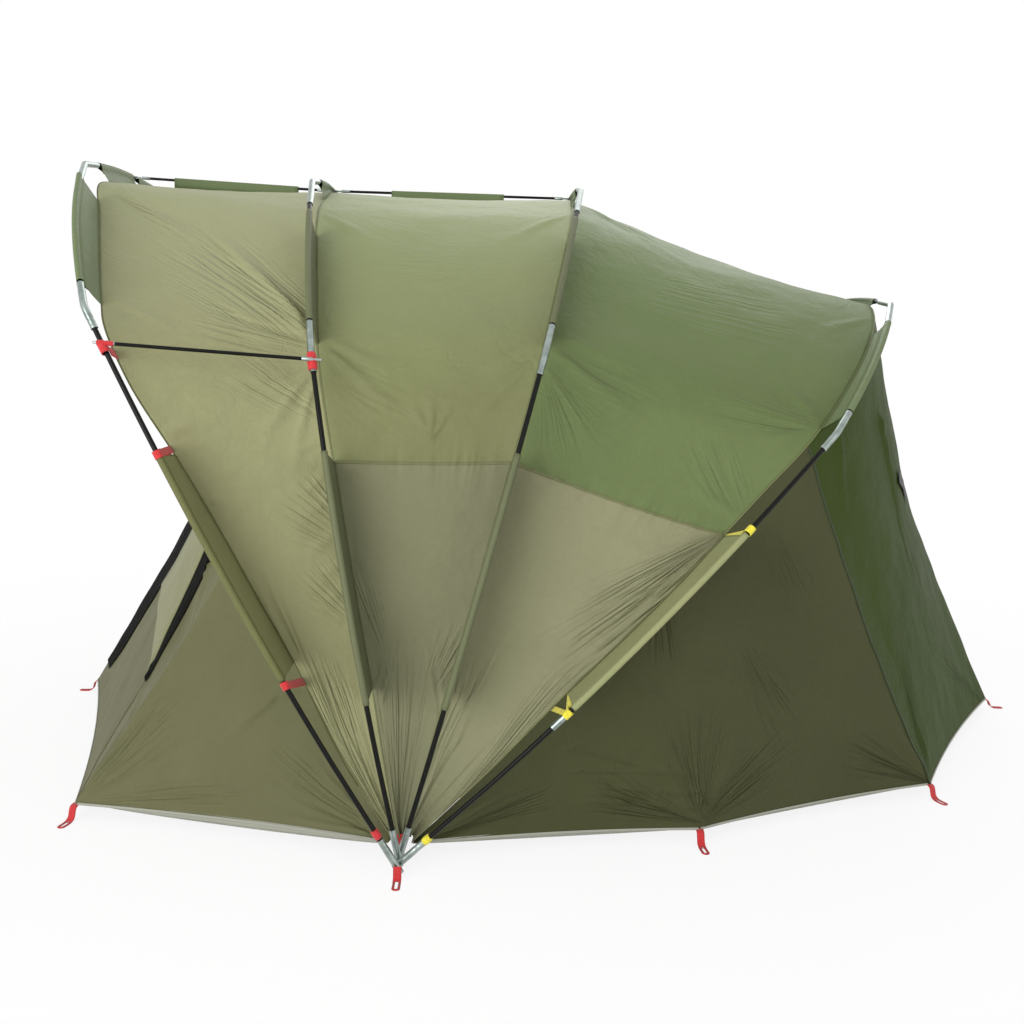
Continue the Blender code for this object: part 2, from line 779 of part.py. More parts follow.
def sewn(columns):
    """Which columns of a sheet have a band or strip, given how many columns one half has."""
    band = range(2, 5)
    strip = range(8, 10)
    top = range(12, 14)
    near = [*band, *strip, *top]
    return near + [columns - 1 - column for column in near]


def hem_run(start, end, share):
    """The point this share of the way along one run of the hem, which is drawn in between its ends."""
    inward = Vector((end.y - start.y, start.x - end.x, 0)).normalized()
    inward *= -math.copysign(1, inward.dot(start + end))
    return start.lerp(end, share) + inward * HEM_SAG * 4 * share * (1 - share)


def ground_rail(forward, stops, inset):
    """A wall's hem through its corners, each at its own column, from the hub to the middle of the tent."""
    line = [Vector((forward * CLOTH_HUB_REACH, CLOTH_HUB_HALF_WIDTH - inset, HEM_Z))]
    column = 0
    for corner, end_column in stops:
        start = line[-1]
        steps = end_column - column
        line += [hem_run(start, corner, i / steps) for i in range(1, steps + 1)]
        column = end_column
    ways = [Vector((p.x, p.y, 0)).normalized() for p in line]
    return mirrored(line, ways)


def cloth(name, rails, sag, parent, finish):
    """A sheet between its last two rails, drawn in by sag halfway; a rail before them edges its bands and strips."""
    (first, first_ways), (second, second_ways) = rails[-2:]
    columns = len(first) - 1
    edge_rows = len(rails) - 2
    rows = CLOTH_ROWS + edge_rows
    mesh = bpy.data.meshes.new(name)
    shape = bmesh.new()
    bmesh.ops.create_grid(shape, x_segments=columns, y_segments=rows, size=1)
    places = {}
    for vert in shape.verts:
        column = round((vert.co.x + 1) / 2 * columns)
        row = round((vert.co.y + 1) / 2 * rows)
        places[vert] = (column, row)
        if row < edge_rows:
            vert.co = rails[0][0][column]
            continue
        part = (row - edge_rows) / CLOTH_ROWS
        way = first_ways[column].lerp(second_ways[column], part).normalized()
        flat = first[column].lerp(second[column], part)
        vert.co = flat - way * sag * 4 * part * (1 - part)
    if edge_rows:
        kept = sewn(columns)
        bare = []
        for face in shape.faces:
            corner_places = [places[vert] for vert in face.verts]
            row = min(place[1] for place in corner_places)
            column = min(place[0] for place in corner_places)
            if row == 0 and column not in kept:
                bare.append(face)
        bmesh.ops.delete(shape, geom=bare, context="FACES")
    bmesh.ops.recalc_face_normals(shape, faces=shape.faces)
    shape.to_mesh(mesh)
    shape.free()
    obj = mesh_object(name, mesh)
    wall = obj.modifiers.new("thickness", "SOLIDIFY")
    wall.thickness = CLOTH_THICKNESS
    wall.offset = 0
    settle(obj, name, parent, finish)
    smooth(obj)
    return obj


def between(name, front, rear, sag):
    """The canopy between two hoops, with bands and strips to the front one."""
    edge = pole_rail(front, -SEAM_GAP)
    first = hoop_rail(front, 0, -SEAM_GAP)
    second = hoop_rail(rear, 0, SEAM_GAP)
    cloth(name, [edge, first, second], sag, PIVOTS[rear.name], CANOPY)


CROWN_COLUMN = len(half_line(HOOPS[0]))
FRONT_CORNER = Vector((-FRONT_CORNER_REACH, FRONT_CORNER_HALF_WIDTH, HEM_Z))
FRONT_CENTRE = Vector((PEG_LOOP_LENGTH - FRONT_PEG_REACH, 0, HEM_Z))
FLANK_CORNER = Vector((FLANK_CORNER_REACH, FLANK_CORNER_HALF_WIDTH, HEM_Z))
REAR_CORNER = Vector((REAR_CORNER_REACH, REAR_CORNER_HALF_WIDTH, HEM_Z))
REAR_CENTRE = Vector((REAR_PEG_REACH - PEG_LOOP_LENGTH, 0, REAR_CENTRE_Z))

TENT = empty("bivvy_tent_hub_axis")
TENT.location = (HUB_X, 0, HUB_HEIGHT)
PIVOTS = {hoop.name: empty(hoop.name + "_pivot", TENT) for hoop in HOOPS}
hoop_1, hoop_2, hoop_3, hoop_4 = HOOPS
bore_cutter = hub_bore_cutter()

for hoop in HOOPS:
    for side_name, side in SIDES.items():
        side_of_hoop(hoop, side_name, side, PIVOTS[hoop.name], bore_cutter)
    top_pole(hoop, PIVOTS[hoop.name])

for side_name, side in SIDES.items():
    hub_pin(side_name, side)
    hub_loop(side_name, side, bore_cutter)
    side_bar(f"side_bar_{side_name}", side, hoop_2, hoop_1, PIVOTS["hoop_2"])

top_bar("top_bar_front", hoop_2, hoop_1, PIVOTS["hoop_2"])
top_bar("top_bar_rear", hoop_3, hoop_2, PIVOTS["hoop_3"])

between("porch_canopy", hoop_1, hoop_2, PORCH_SAG)
between("mid_canopy", hoop_2, hoop_3, MID_SAG)
between("rear_canopy", hoop_3, hoop_4, REAR_SAG)
cloth(
    "rear_wall",
    [
        pole_rail(hoop_4, -SEAM_GAP),
        hoop_rail(hoop_4, 0, -SEAM_GAP),
        ground_rail(
            1,
            [
                (FLANK_CORNER, FLANK_COLUMN),
                (REAR_CORNER, CORNER_COLUMN),
                (REAR_CENTRE, CROWN_COLUMN),
            ],
            0,
        ),
    ],
    TAIL_SAG,
    PIVOTS["hoop_4"],
    WALL,
)
cloth(
    "front_wall",
    [
        hoop_rail(hoop_2, CLOTH_THICKNESS + INNER_WALL_GAP, SEAM_GAP),
        ground_rail(
            -1,
            [(FRONT_CORNER, CORNER_COLUMN), (FRONT_CENTRE, CROWN_COLUMN)],
            CLOTH_THICKNESS + INNER_WALL_GAP,
        ),
    ],
    FRONT_SAG,
    PIVOTS["hoop_2"],
    WALL,
)

for side_name, side in SIDES.items():
    for name, corner, pivot in (
        ("front_corner_loop", FRONT_CORNER, "hoop_2"),
        ("flank_loop", FLANK_CORNER, "hoop_4"),
        ("rear_corner_loop", REAR_CORNER, "hoop_4"),
    ):
        place = Vector((corner.x, side * corner.y, corner.z))
        peg_loop(f"{name}_{side_name}", place, (0, side), PIVOTS[pivot])
peg_loop("front_centre_loop", FRONT_CENTRE, (-1, 0), PIVOTS["hoop_2"])
peg_loop("rear_centre_loop", REAR_CENTRE, (1, 0), PIVOTS["hoop_4"])
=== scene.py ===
"""Looks of the bivvy tent, in metres, +X to the rear, +Z up, the ground at Z = 0; the left side is at -Y."""

import math
from functools import partial

import bmesh
import bpy
from mathutils import Matrix, Vector, noise


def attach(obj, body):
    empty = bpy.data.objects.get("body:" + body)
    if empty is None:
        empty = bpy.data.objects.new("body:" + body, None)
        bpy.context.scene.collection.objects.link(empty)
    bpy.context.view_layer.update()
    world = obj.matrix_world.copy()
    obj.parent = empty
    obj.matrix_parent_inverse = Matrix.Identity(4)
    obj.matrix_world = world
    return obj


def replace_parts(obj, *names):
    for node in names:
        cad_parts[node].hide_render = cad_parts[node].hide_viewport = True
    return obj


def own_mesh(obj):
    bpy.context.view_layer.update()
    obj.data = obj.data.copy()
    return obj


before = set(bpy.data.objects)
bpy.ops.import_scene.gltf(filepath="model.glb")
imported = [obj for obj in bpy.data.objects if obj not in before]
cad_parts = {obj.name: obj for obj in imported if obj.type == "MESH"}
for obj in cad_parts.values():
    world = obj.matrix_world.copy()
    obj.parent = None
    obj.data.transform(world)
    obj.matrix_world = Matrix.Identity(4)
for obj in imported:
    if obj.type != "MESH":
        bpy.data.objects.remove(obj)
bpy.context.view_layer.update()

# The hoops, as in the CAD model
HUB = Vector((-0.406, 0, 0.020))
TOP_HALF_WIDTH = 0.487
SHOULDER_RISE = 0.452
ARCH_RISE = 0.0423
SHOULDER_BOW = 0.035
SIDES = {"left": -1, "right": 1}
POLE_RADIUS = 0.0056
STEEL_RADIUS = 0.0080
ELBOW_ARM = 0.120  # the straight part of the upper elbow, towards the crown

# A sheet's mesh: steps between two columns of the cloth's tables, and rows from rail to rail
COLUMN_STEPS = 16
ROWS = 90

# Photograph: eye, turns and focal length of the camera that was fitted to it
EYE = Vector((-0.251, -3.553, 1.156))
YAW, PITCH, ROLL = (math.radians(a) for a in (1.843, -8.395, 1.685))
FOCAL = 1100.0
PICTURE = 1024
CENTRE = PICTURE / 2


def view_axes():
    """Right, up and forward as the photograph's camera has them."""
    level = Vector((math.cos(YAW), -math.sin(YAW), 0))
    ahead = Vector((math.sin(YAW), math.cos(YAW), 0))
    forward = math.cos(PITCH) * ahead + math.sin(PITCH) * Vector((0, 0, 1))
    up = -math.sin(PITCH) * ahead + math.cos(PITCH) * Vector((0, 0, 1))
    right = math.cos(ROLL) * level + math.sin(ROLL) * up
    up = -math.sin(ROLL) * level + math.cos(ROLL) * up
    return right, up, forward


RIGHT, UP, FORWARD = view_axes()


def pixel(place):
    """Where a place falls in the photograph."""
    seen = place - EYE
    depth = seen.dot(FORWARD)
    return CENTRE + FOCAL * seen.dot(RIGHT) / depth, CENTRE - FOCAL * seen.dot(UP) / depth


# ---------------------------------------------------------------- materials


def linear(code, factor=1.0):
    """A hex colour, darker or lighter by a factor, as linear values."""
    parts = [int(code[i : i + 2], 16) / 255 for i in (1, 3, 5)]
    parts = [p / 12.92 if p <= 0.04045 else ((p + 0.055) / 1.055) ** 2.4 for p in parts]
    return (*(min(1.0, p * factor) for p in parts), 1)


def fill(tree, node, *wires, **sockets):
    """Gives a node's sockets their values or links, in order or by name."""
    for key, value in [*enumerate(wires), *sockets.items()]:
        socket = node.inputs[key.replace("_", " ") if isinstance(key, str) else key]
        if isinstance(value, bpy.types.NodeSocket):
            tree.links.new(value, socket)
        else:
            socket.default_value = value


def add_node(tree, kind, *wires, out=0, stops=(), **settings):
    """Adds a node with its properties, its sockets' values and links and its colour stops, for one output."""
    node = tree.nodes.new("ShaderNode" + kind)
    sockets = {key: value for key, value in settings.items() if not hasattr(node, key)}
    for key in settings:
        if key not in sockets:
            setattr(node, key, settings[key])
    fill(tree, node, *wires, **sockets)
    for stop, (place, colour) in zip(node.color_ramp.elements if stops else (), stops):
        stop.position, stop.color = place, colour
    return node.outputs[out]


def new_material(name):
    """A new material and the function that adds a node to it."""
    made = bpy.data.materials.new(name)
    made.use_nodes = True
    return made, partial(add_node, made.node_tree)


def finish(made, **sockets):
    """Gives the material's shader its sockets."""
    fill(made.node_tree, made.node_tree.nodes["Principled BSDF"], **sockets)
    return made


# Patterns, as repeats in a metre. Tent cloth has threads of about 0.2 mm and webbing ribs of about 1 mm. Both
# are too fine to show in the render, so the cloth's are drawn 1.1 mm wide and the webbing's 2.4 mm.
CLOTH_THREADS = 900
WEBBING_RIBS = 420
SEWING_THREADS = 900
NET_HOLES = 500  # holes of 2 mm, drawn about twice their real size
DYE_DRIFT = 2.2  # the dye drifts over about 450 mm
CLOTH_MOTTLE = 60.0  # and is mottled every 17 mm
CREASE_WARP = 3.5  # creases bend over about 290 mm
SOFT_CREASES = 8.0  # soft creases 125 mm apart
BAG_CREASES = ((4.5, 0.126), (13.0, 0.054))  # sharp ones 220 and 77 mm apart, each with its depth
WEBBING_DRIFT = 120.0  # webbing is uneven every 8 mm
POLE_STREAKS = (220, 220, 40)  # glass fibre bundles 4.5 mm wide and 25 mm long
ZINC_BLOTCHES = 38.0  # zinc crystals in patches of 26 mm
ZINC_GRAIN = (900, 900, 180)  # a drawn grain 1.1 mm wide and 5.6 mm long


def weave(node, flat, threads):
    """Plain weave: two crossed sets of threads, from a map in metres."""
    sets = []
    for way in "XY":
        along = node("SeparateXYZ", flat, out=way)
        turn = node("Math", along, threads * 2 * math.pi, operation="MULTIPLY")
        sets.append(node("Math", turn, operation="SINE"))
    return node("Math", *sets, operation="MULTIPLY")


def fan_folds(node, flat, fans):
    """Fine tension folds, as a height in metres.

    Each fan has its origin and far end on the sheet, the share of the way where it starts, half its spread
    as an angle, how many folds it has and how high they are.
    """
    whole = 0.0
    for origin, end, near, spread, count, height in fans:
        way = end - origin
        facing = (0, 0, math.atan2(way.y, way.x))
        turned = node("Mapping", flat, vector_type="TEXTURE", Location=(*origin, 0), Rotation=facing)
        far = node("VectorMath", turned, operation="LENGTH", out="Value")
        sides = [node("SeparateXYZ", turned, out=axis) for axis in "YX"]
        aside = node("Math", node("Math", *sides, operation="ARCTAN2"), spread, operation="DIVIDE")
        per_metre = 2 / (way.length * (1 - near))
        middle = per_metre * way.length * (1 + near) / 2
        inner = node("Math", far, per_metre, -middle, operation="MULTIPLY_ADD")
        fade = height
        for share in (inner, aside):
            square = node("Math", share, share, operation="MULTIPLY")
            shown = node("Math", 1.0, square, operation="SUBTRACT", use_clamp=True)
            fade = node("Math", shown, fade, operation="MULTIPLY")
        along = node("Math", far, 3.0, operation="MULTIPLY")
        across = node("Math", aside, count / 2, operation="MULTIPLY")
        spots = node("CombineXYZ", along, across, count + 10 * spread)
        streaks = node("TexNoise", spots, Scale=1.0, Detail=1.5, Roughness=0.55)
        streaks = node("Math", streaks, 0.5, operation="SUBTRACT")
        sharp = node("Math", node("Math", streaks, operation="ABSOLUTE"), 7.0, operation="MULTIPLY")
        ridges = node("Math", 1.0, sharp, operation="SUBTRACT", use_clamp=True)
        whole = node("Math", ridges, fade, whole, operation="MULTIPLY_ADD")
    return whole


def polyester(name, code, worn=0.10, crisp=1.0, top=None, fans=(), shine=0.13):
    """Woven polyester with a thin coat: the dye drifts a little, bag creases show, the sheen is low."""
    made, node = new_material(name)
    place, flat = (node("TexCoord", out=kind) for kind in ("Object", "UV"))
    drift = node("TexNoise", place, Scale=DYE_DRIFT, Detail=3.0, Roughness=0.55)
    mottle = node("TexNoise", place, Scale=CLOTH_MOTTLE, Detail=2.0, Roughness=0.55)
    mixed = node("Math", mottle, 0.2, operation="MULTIPLY")
    mixed = node("Math", drift, 0.8, mixed, operation="MULTIPLY_ADD")
    colour = node("ValToRGB", mixed, stops=((0.30, linear(code, 1 - worn)), (0.70, linear(code, 1 + worn))))
    # With a top colour the cloth turns to it between 1.05 and 1.60 m up: painted light, for the light that
    # falls on the roof from above.
    if top:
        rise = node("SeparateXYZ", place, out="Z")
        rise = node("MapRange", rise, From_Min=1.05, From_Max=1.60)
        colour = node("Mix", data_type="RGBA", Factor=rise, A=colour, B=linear(top), out="Result")
    rough = node("Math", mottle, 0.16, 0.44, operation="MULTIPLY_ADD")
    warp = node("TexNoise", place, Scale=CREASE_WARP, Detail=3.0, Roughness=0.55)
    warp = node("Math", warp, 0.45, operation="MULTIPLY")
    bent = node("VectorMath", place, warp, operation="ADD")
    soft = node("TexNoise", place, Scale=SOFT_CREASES, Detail=5.0, Roughness=0.62)
    creased = node("Bump", Strength=0.75, Distance=0.010 * crisp, Height=soft)
    for scale, depth in BAG_CREASES:
        cells = node("TexVoronoi", bent, feature="DISTANCE_TO_EDGE", Scale=scale, out="Distance")
        folds = node("Math", cells, 0.05, operation="MINIMUM")
        upright = node("Mapping", place, Scale=(1.0, 1.0, 1.4))
        shown = node("TexNoise", upright, Scale=scale * 0.55, Detail=2.0, Roughness=0.55)
        shown = node("Math", shown, 0.42, operation="SUBTRACT", use_clamp=True)
        patchy = node("Math", folds, shown, operation="MULTIPLY")
        creased = node("Bump", Strength=0.55, Distance=depth * crisp, Height=patchy, Normal=creased)
    if fans:
        creased = node("Bump", Strength=1.0, Distance=1.0, Height=fan_folds(node, flat, fans), Normal=creased)
    threads = weave(node, flat, CLOTH_THREADS)
    threads = node("Bump", Strength=0.30, Distance=0.00012, Height=threads, Normal=creased)
    return finish(made, Base_Color=colour, Roughness=rough, Normal=threads, Specular_IOR_Level=shine)


def webbing(name, code, rib=WEBBING_RIBS):
    """Woven polyester webbing: ribs across it, with painted shade in the valleys between them, and a dry
    fuzzy face.
    """
    made, node = new_material(name)
    ribs = weave(node, node("TexCoord", out="UV"), rib)
    drift = node("TexNoise", node("TexCoord", out="Object"), Scale=WEBBING_DRIFT, Detail=2.0, Roughness=0.55)
    mixed = node("Math", ribs, 0.25, drift, operation="MULTIPLY_ADD")
    # The valleys between the ribs are coloured darker: painted shade.
    colour = node("ValToRGB", mixed, stops=((0.25, linear(code, 0.78)), (0.75, linear(code, 1.12))))
    raised = node("Bump", Strength=0.6, Distance=0.0004, Height=ribs)
    finish(made, Base_Color=colour, Roughness=0.68, Normal=raised)
    return finish(made, Sheen_Weight=0.2, Sheen_Roughness=0.5)


def fibreglass():
    """Pultruded black fibreglass: fine streaks along the pole under a satin coat."""
    made, node = new_material("black_fibreglass")
    drawn = node("Mapping", node("TexCoord", out="Object"), Scale=POLE_STREAKS)
    streak = node("TexNoise", drawn, Scale=1.0, Detail=2.0, Roughness=0.55)
    rough = node("Math", streak, 0.18, 0.28, operation="MULTIPLY_ADD")
    colour = node("ValToRGB", streak, stops=((0.3, linear("#080907")), (0.8, linear("#13140f"))))
    raised = node("Bump", Strength=0.3, Distance=0.0002, Height=streak)
    return finish(made, Base_Color=colour, Roughness=rough, Normal=raised, Specular_IOR_Level=0.14)


def zinc():
    """Zinc-plated steel tube: bright, faintly blotched by the bath, with a drawn grain and dull marks."""
    made, node = new_material("zinc_plated_steel")
    place = node("TexCoord", out="Object")
    blotch = node("TexNoise", place, Scale=ZINC_BLOTCHES, Detail=4.0, Roughness=0.55)
    drawn = node("Mapping", place, Scale=ZINC_GRAIN)
    grain = node("TexNoise", drawn, Scale=1.0, Detail=2.0, Roughness=0.55)
    colour = node("ValToRGB", blotch, stops=((0.3, linear("#7d8883")), (0.75, linear("#a9b3ae"))))
    rough = node("Math", blotch, 0.28, 0.20, operation="MULTIPLY_ADD")
    raised = node("Bump", Strength=0.25, Distance=0.0001, Height=grain)
    return finish(made, Base_Color=colour, Roughness=rough, Normal=raised, Metallic=0.92)


def insect_mesh():
    """Knitted black insect mesh: a dark open weave with next to no shine."""
    made, node = new_material("black_insect_mesh")
    holes = weave(node, node("TexCoord", out="UV"), NET_HOLES)
    colour = node("ValToRGB", holes, stops=((0.35, linear("#060705")), (0.65, linear("#15170f"))))
    raised = node("Bump", Strength=0.7, Distance=0.0003, Height=holes)
    return finish(made, Base_Color=colour, Roughness=0.85, Normal=raised, Specular_IOR_Level=0.06)


# The cloth of the bands, sleeves and flaps is doubled, so it creases less than the sheets
FLAP_LIGHT = polyester("door_flap_polyester", "#7e7f5d")
STRIP = polyester("strip_olive_polyester", "#62643e", crisp=0.6)
# A lighter copy of the strip cloth, for the flat part of the first hoop's leg bands: painted light on that
# face, which turns up and to the rear.
STRIP_PAINTED_LIGHT = polyester("strip_olive_polyester_painted_light", "#808159", crisp=0.6)
STRIP_DARK = polyester("strip_dark_green_polyester", "#65724f", crisp=0.6)
BAND_REAR = polyester("band_olive_polyester", "#8b8e65", crisp=0.6)
# The sleeves are the canopies' cloth coloured darker: partly painted shade, for the shadow line beside each
# pole.
SLEEVE_GREEN = polyester("sleeve_olive_polyester", "#61654a", crisp=0.6)
# Seam tape is narrow and stitched flat
SEAM_GREEN = polyester("seam_olive_tape", "#696c4a", worn=0.05, crisp=0.4)
SEAM_TAIL = polyester("seam_rear_tape", "#35402a", worn=0.05, crisp=0.4)
SEAM_DOOR = polyester("seam_door_tape", "#565636", worn=0.05, crisp=0.4)
HEM_GREY = polyester("hem_light_grey_tape", "#95968a", worn=0.05, crisp=0.4)
RED_THREAD = webbing("red_thread", "#8e1219", SEWING_THREADS)
RED = webbing("woven_red_webbing", "#c01c20")
YELLOW = webbing("woven_yellow_webbing", "#dfd22e")
BLACK = webbing("woven_black_webbing", "#0f100b")
POLE = fibreglass()
STEEL = zinc()
NET = insect_mesh()

# ---------------------------------------------------------------- hoops


def bowed(start, end, bow, share):
    """A place on a pole that bows outwards between its ends."""
    way = end - start
    outward = Vector((-way.y, way.x)).normalized()
    return start.lerp(end, share) + outward * bow * 4 * share * (1 - share)


class Hoop:
    """A hoop's flat lines, with R out from the hub axis and Y across, and its place in space."""

    def __init__(self, number, degrees, leg_reach, half_width, hub_half_width, bow, band, insets):
        self.body = f"hoop_{number}"
        angle = math.radians(degrees)
        self.out = Vector((math.cos(angle), 0, math.sin(angle)))
        self.forward = Vector((-math.sin(angle), 0, math.cos(angle)))
        self.hub = Vector((0, hub_half_width))
        self.lower = Vector((leg_reach, half_width))
        self.upper = Vector((leg_reach + SHOULDER_RISE, TOP_HALF_WIDTH))
        self.crown = leg_reach + SHOULDER_RISE + ARCH_RISE
        self.bow = bow
        self.insets = [max(INSET * share, CROWN_INSET) for share in insets]
        start, end = band
        third = (end - start) / 3
        self.leg_shares = (0.20, start, start + third, end - third, end, (1 + end) / 2)

    def space(self, flat, side, ahead=0.0):
        """The place in space of a flat place, on one side of the tent."""
        return HUB + self.out * flat.x + Vector((0, side * flat.y, 0)) + self.forward * ahead

    def leg(self, share):
        """A place on the leg: 0 at the hub, 1 at the lower elbow."""
        return bowed(self.hub, self.lower, self.bow, share)

    def shoulder(self, share):
        """A place on the shoulder pole: 0 at the lower elbow, 1 at the upper one."""
        return bowed(self.lower, self.upper, SHOULDER_BOW, share)

    def arch(self, share):
        """The top pole's arc: 0 at the elbow, 1 at the crown."""
        tilt = 2 * math.atan(ARCH_RISE / (ELBOW_ARM + TOP_HALF_WIDTH))
        radius = (TOP_HALF_WIDTH - ELBOW_ARM * math.cos(tilt)) / math.sin(tilt)
        turn = tilt * (1 - share)
        return Vector((self.crown - radius * (1 - math.cos(turn)), radius * math.sin(turn)))

    def stations(self):
        """The pole's line at the cloth's columns 1 to 14."""
        line = [self.leg(s) for s in self.leg_shares] + [self.lower]
        line += [self.shoulder(s) for s in (0.12, 0.43, 0.73)] + [self.upper]
        return line + [self.arch(s / 7) for s in (1, 4, 7)]


INSET = 0.130
CROWN_INSET = 0.0088
FIRST = (0.60, 1.10, 1.13, 1.08, 0.82, 0.36, 0.57, 0.58, 0.70, 0.66, 0.47, 0.38, 0.40, 0.40)
INNER = (0.69, 0.96, 1.0, 1.0, 0.86, 0.72, 0.68, 0.58, 0.60, 0.54, 0.58, 0.38, 0.19, 0)
LAST = (0.66, 0.95, 0.93, 0.88, 0.95, 0.94, 0.82, 0.69, 0.48, 0.40, 0.42, 0.16, 0.10, 0)
HOOPS = {
    1: Hoop(1, 119.8, 1.383, 1.160, 1.266, 0.075, (0.355, 0.750), FIRST),
    2: Hoop(2, 101.15, 1.145, 1.080, 1.230, 0.095, (0.320, 0.800), INNER),
    3: Hoop(3, 75.2, 1.170, 1.080, 1.212, 0.095, (0.310, 0.800), INNER),
    4: Hoop(4, 45.1, 1.369, 1.080, 1.248, 0.095, (0.378, 0.767), LAST),
}
CLOTH_HUB = Vector((0.036, 1.196))
COLUMNS = 14


def normals_of(line):
    """Outward directions across a hoop's line, level with its plane."""
    found = []
    for i, _ in enumerate(line):
        way = line[min(i + 1, len(line) - 1)] - line[max(i - 1, 0)]
        found.append(Vector((-way.y, way.x)).normalized())
    found[-1] = Vector((1, 0))
    return found


def eased(line, per, last_level=True):
    """A smooth line through points, with this many steps between each two."""
    size = [max((b - a).length, 1e-6) for a, b in zip(line, line[1:])]
    slopes = []
    for i, _ in enumerate(line):
        if i == 0:
            slopes.append((line[1] - line[0]) / size[0])
        elif i == len(line) - 1:
            slopes.append((line[-1] - line[-2]) / size[-1])
        else:
            a = (line[i] - line[i - 1]) / size[i - 1]
            b = (line[i + 1] - line[i]) / size[i]
            slopes.append((a * size[i] + b * size[i - 1]) / (size[i] + size[i - 1]))
    if last_level:
        slopes[-1] = Vector((0, slopes[-1].y)) if len(line[0]) == 2 else slopes[-1]
    made = []
    for i, length in enumerate(size):
        for k in range(per):
            t = k / per
            h00 = 2 * t**3 - 3 * t**2 + 1
            h10 = t**3 - 2 * t**2 + t
            h01 = -2 * t**3 + 3 * t**2
            h11 = t**3 - t**2
            made.append(
                line[i] * h00
                + slopes[i] * (h10 * length)
                + line[i + 1] * h01
                + slopes[i + 1] * (h11 * length)
            )
    made.append(line[-1].copy())
    return made


def cloth_line(hoop, extra=0.0):
    """The cloth's line inside a hoop at the columns 0 to 14."""
    line = hoop.stations()
    drawn = [p - n * (d + extra) for p, n, d in zip(line, normals_of(line), hoop.insets)]
    return [CLOTH_HUB - Vector((0, extra)), *drawn]


def both_sides(half):
    """A line of places from the left hub over the crown to the right hub, from the left half alone."""
    other = [Vector((p.x, -p.y, p.z)) for p in half[-2::-1]]
    return half + other


def hoop_rail(hoop, extra, ahead):
    """The edge of a sheet along a hoop, drawn further in by extra and moved ahead of the hoop's plane."""
    smooth = eased(cloth_line(hoop, extra), COLUMN_STEPS)
    return both_sides([hoop.space(p, -1, ahead) for p in smooth])


# ---------------------------------------------------------------- mesh helpers

SHORT_TAPE = 0.040  # about the length and the girth of a tape wound round a pole, for its weave


def as_piece(name, mesh, body, *looks):
    """A piece of the tent from its mesh, on its body. The first of its looks gives its slot."""
    obj = bpy.data.objects.new(name, mesh)
    bpy.context.scene.collection.objects.link(obj)
    for look in looks:
        mesh.materials.append(look)
    mesh.shade_smooth()
    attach(obj, body)
    return obj


def grid_mesh(name, rows, uv_of=None, look_of=None, keep=None):
    """A mesh over rows of places, with a map in metres."""
    shape = bmesh.new()
    verts = [[shape.verts.new(p) for p in row] for row in rows]
    layer = shape.loops.layers.uv.new("map")
    down = [0.0]
    for a, b in zip(rows, rows[1:]):
        middle = len(a) // 2
        down.append(down[-1] + (b[middle] - a[middle]).length)
    across = [0.0]
    wide = rows[len(rows) // 2]
    for a, b in zip(wide, wide[1:]):
        across.append(across[-1] + (b - a).length)
    for r in range(len(rows) - 1):
        for c in range(len(rows[0]) - 1):
            if keep and not keep(r, c):
                continue
            corners = ((r, c), (r, c + 1), (r + 1, c + 1), (r + 1, c))
            face = shape.faces.new([verts[i][j] for i, j in corners])
            for loop, (i, j) in zip(face.loops, corners):
                loop[layer].uv = uv_of(i, j) if uv_of else (across[j], down[i])
            if look_of:
                face.material_index = look_of(r, c)
    loose = [v for v in shape.verts if not v.link_faces]
    bmesh.ops.delete(shape, geom=loose, context="VERTS")
    mesh = bpy.data.meshes.new(name)
    shape.to_mesh(mesh)
    shape.free()
    return mesh


def thicken(obj, thickness):
    """Gives a sheet its thickness, in its mesh."""
    wall = obj.modifiers.new("thickness", "SOLIDIFY")
    wall.thickness = thickness
    wall.offset = 0
    bpy.context.view_layer.update()
    graph = bpy.context.evaluated_depsgraph_get()
    solid = bpy.data.meshes.new_from_object(obj.evaluated_get(graph))
    obj.modifiers.clear()
    old = obj.data
    obj.data = solid
    bpy.data.meshes.remove(old)
    obj.data.shade_smooth()


SHEET_THICKNESS = 0.0009
TRIM_THICKNESS = 0.0005
FLAP_THICKNESS = 0.0006


def declared(obj, thickness):
    """Thickens a stretched sheet."""
    thicken(obj, thickness)


def tube(name, path, radii, body, look, sides=16):
    """A round bar drawn along a curve, as thick as each point says, and made one closed mesh."""
    bpy.ops.object.select_all(action="DESELECT")
    bpy.ops.curve.primitive_nurbs_path_add(location=(0, 0, 0))
    drawn = bpy.context.object.data
    drawn.splines.clear()
    line = drawn.splines.new("POLY")
    line.points.add(len(path) - 1)
    thick = max(radii)
    for point, place, radius in zip(line.points, path, radii):
        point.co = (*place, 1)
        point.radius = radius / thick
    drawn.bevel_depth = thick
    drawn.bevel_resolution = sides // 2 - 2
    drawn.use_fill_caps = True
    bpy.ops.object.convert(target="MESH")
    obj = bpy.context.object
    bpy.ops.object.mode_set(mode="EDIT")
    bpy.ops.mesh.select_all(action="SELECT")
    bpy.ops.mesh.remove_doubles(threshold=1e-6)
    bpy.ops.mesh.normals_make_consistent(inside=False)
    bpy.ops.object.mode_set(mode="OBJECT")
    bpy.ops.object.shade_smooth_by_angle(angle=math.radians(40))
    obj.name = obj.data.name = name
    obj.data.materials.append(look)
    for spot in obj.data.uv_layers.active.data:
        spot.uv = spot.uv * SHORT_TAPE
    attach(obj, body)
    return obj


# ---------------------------------------------------------------- poles


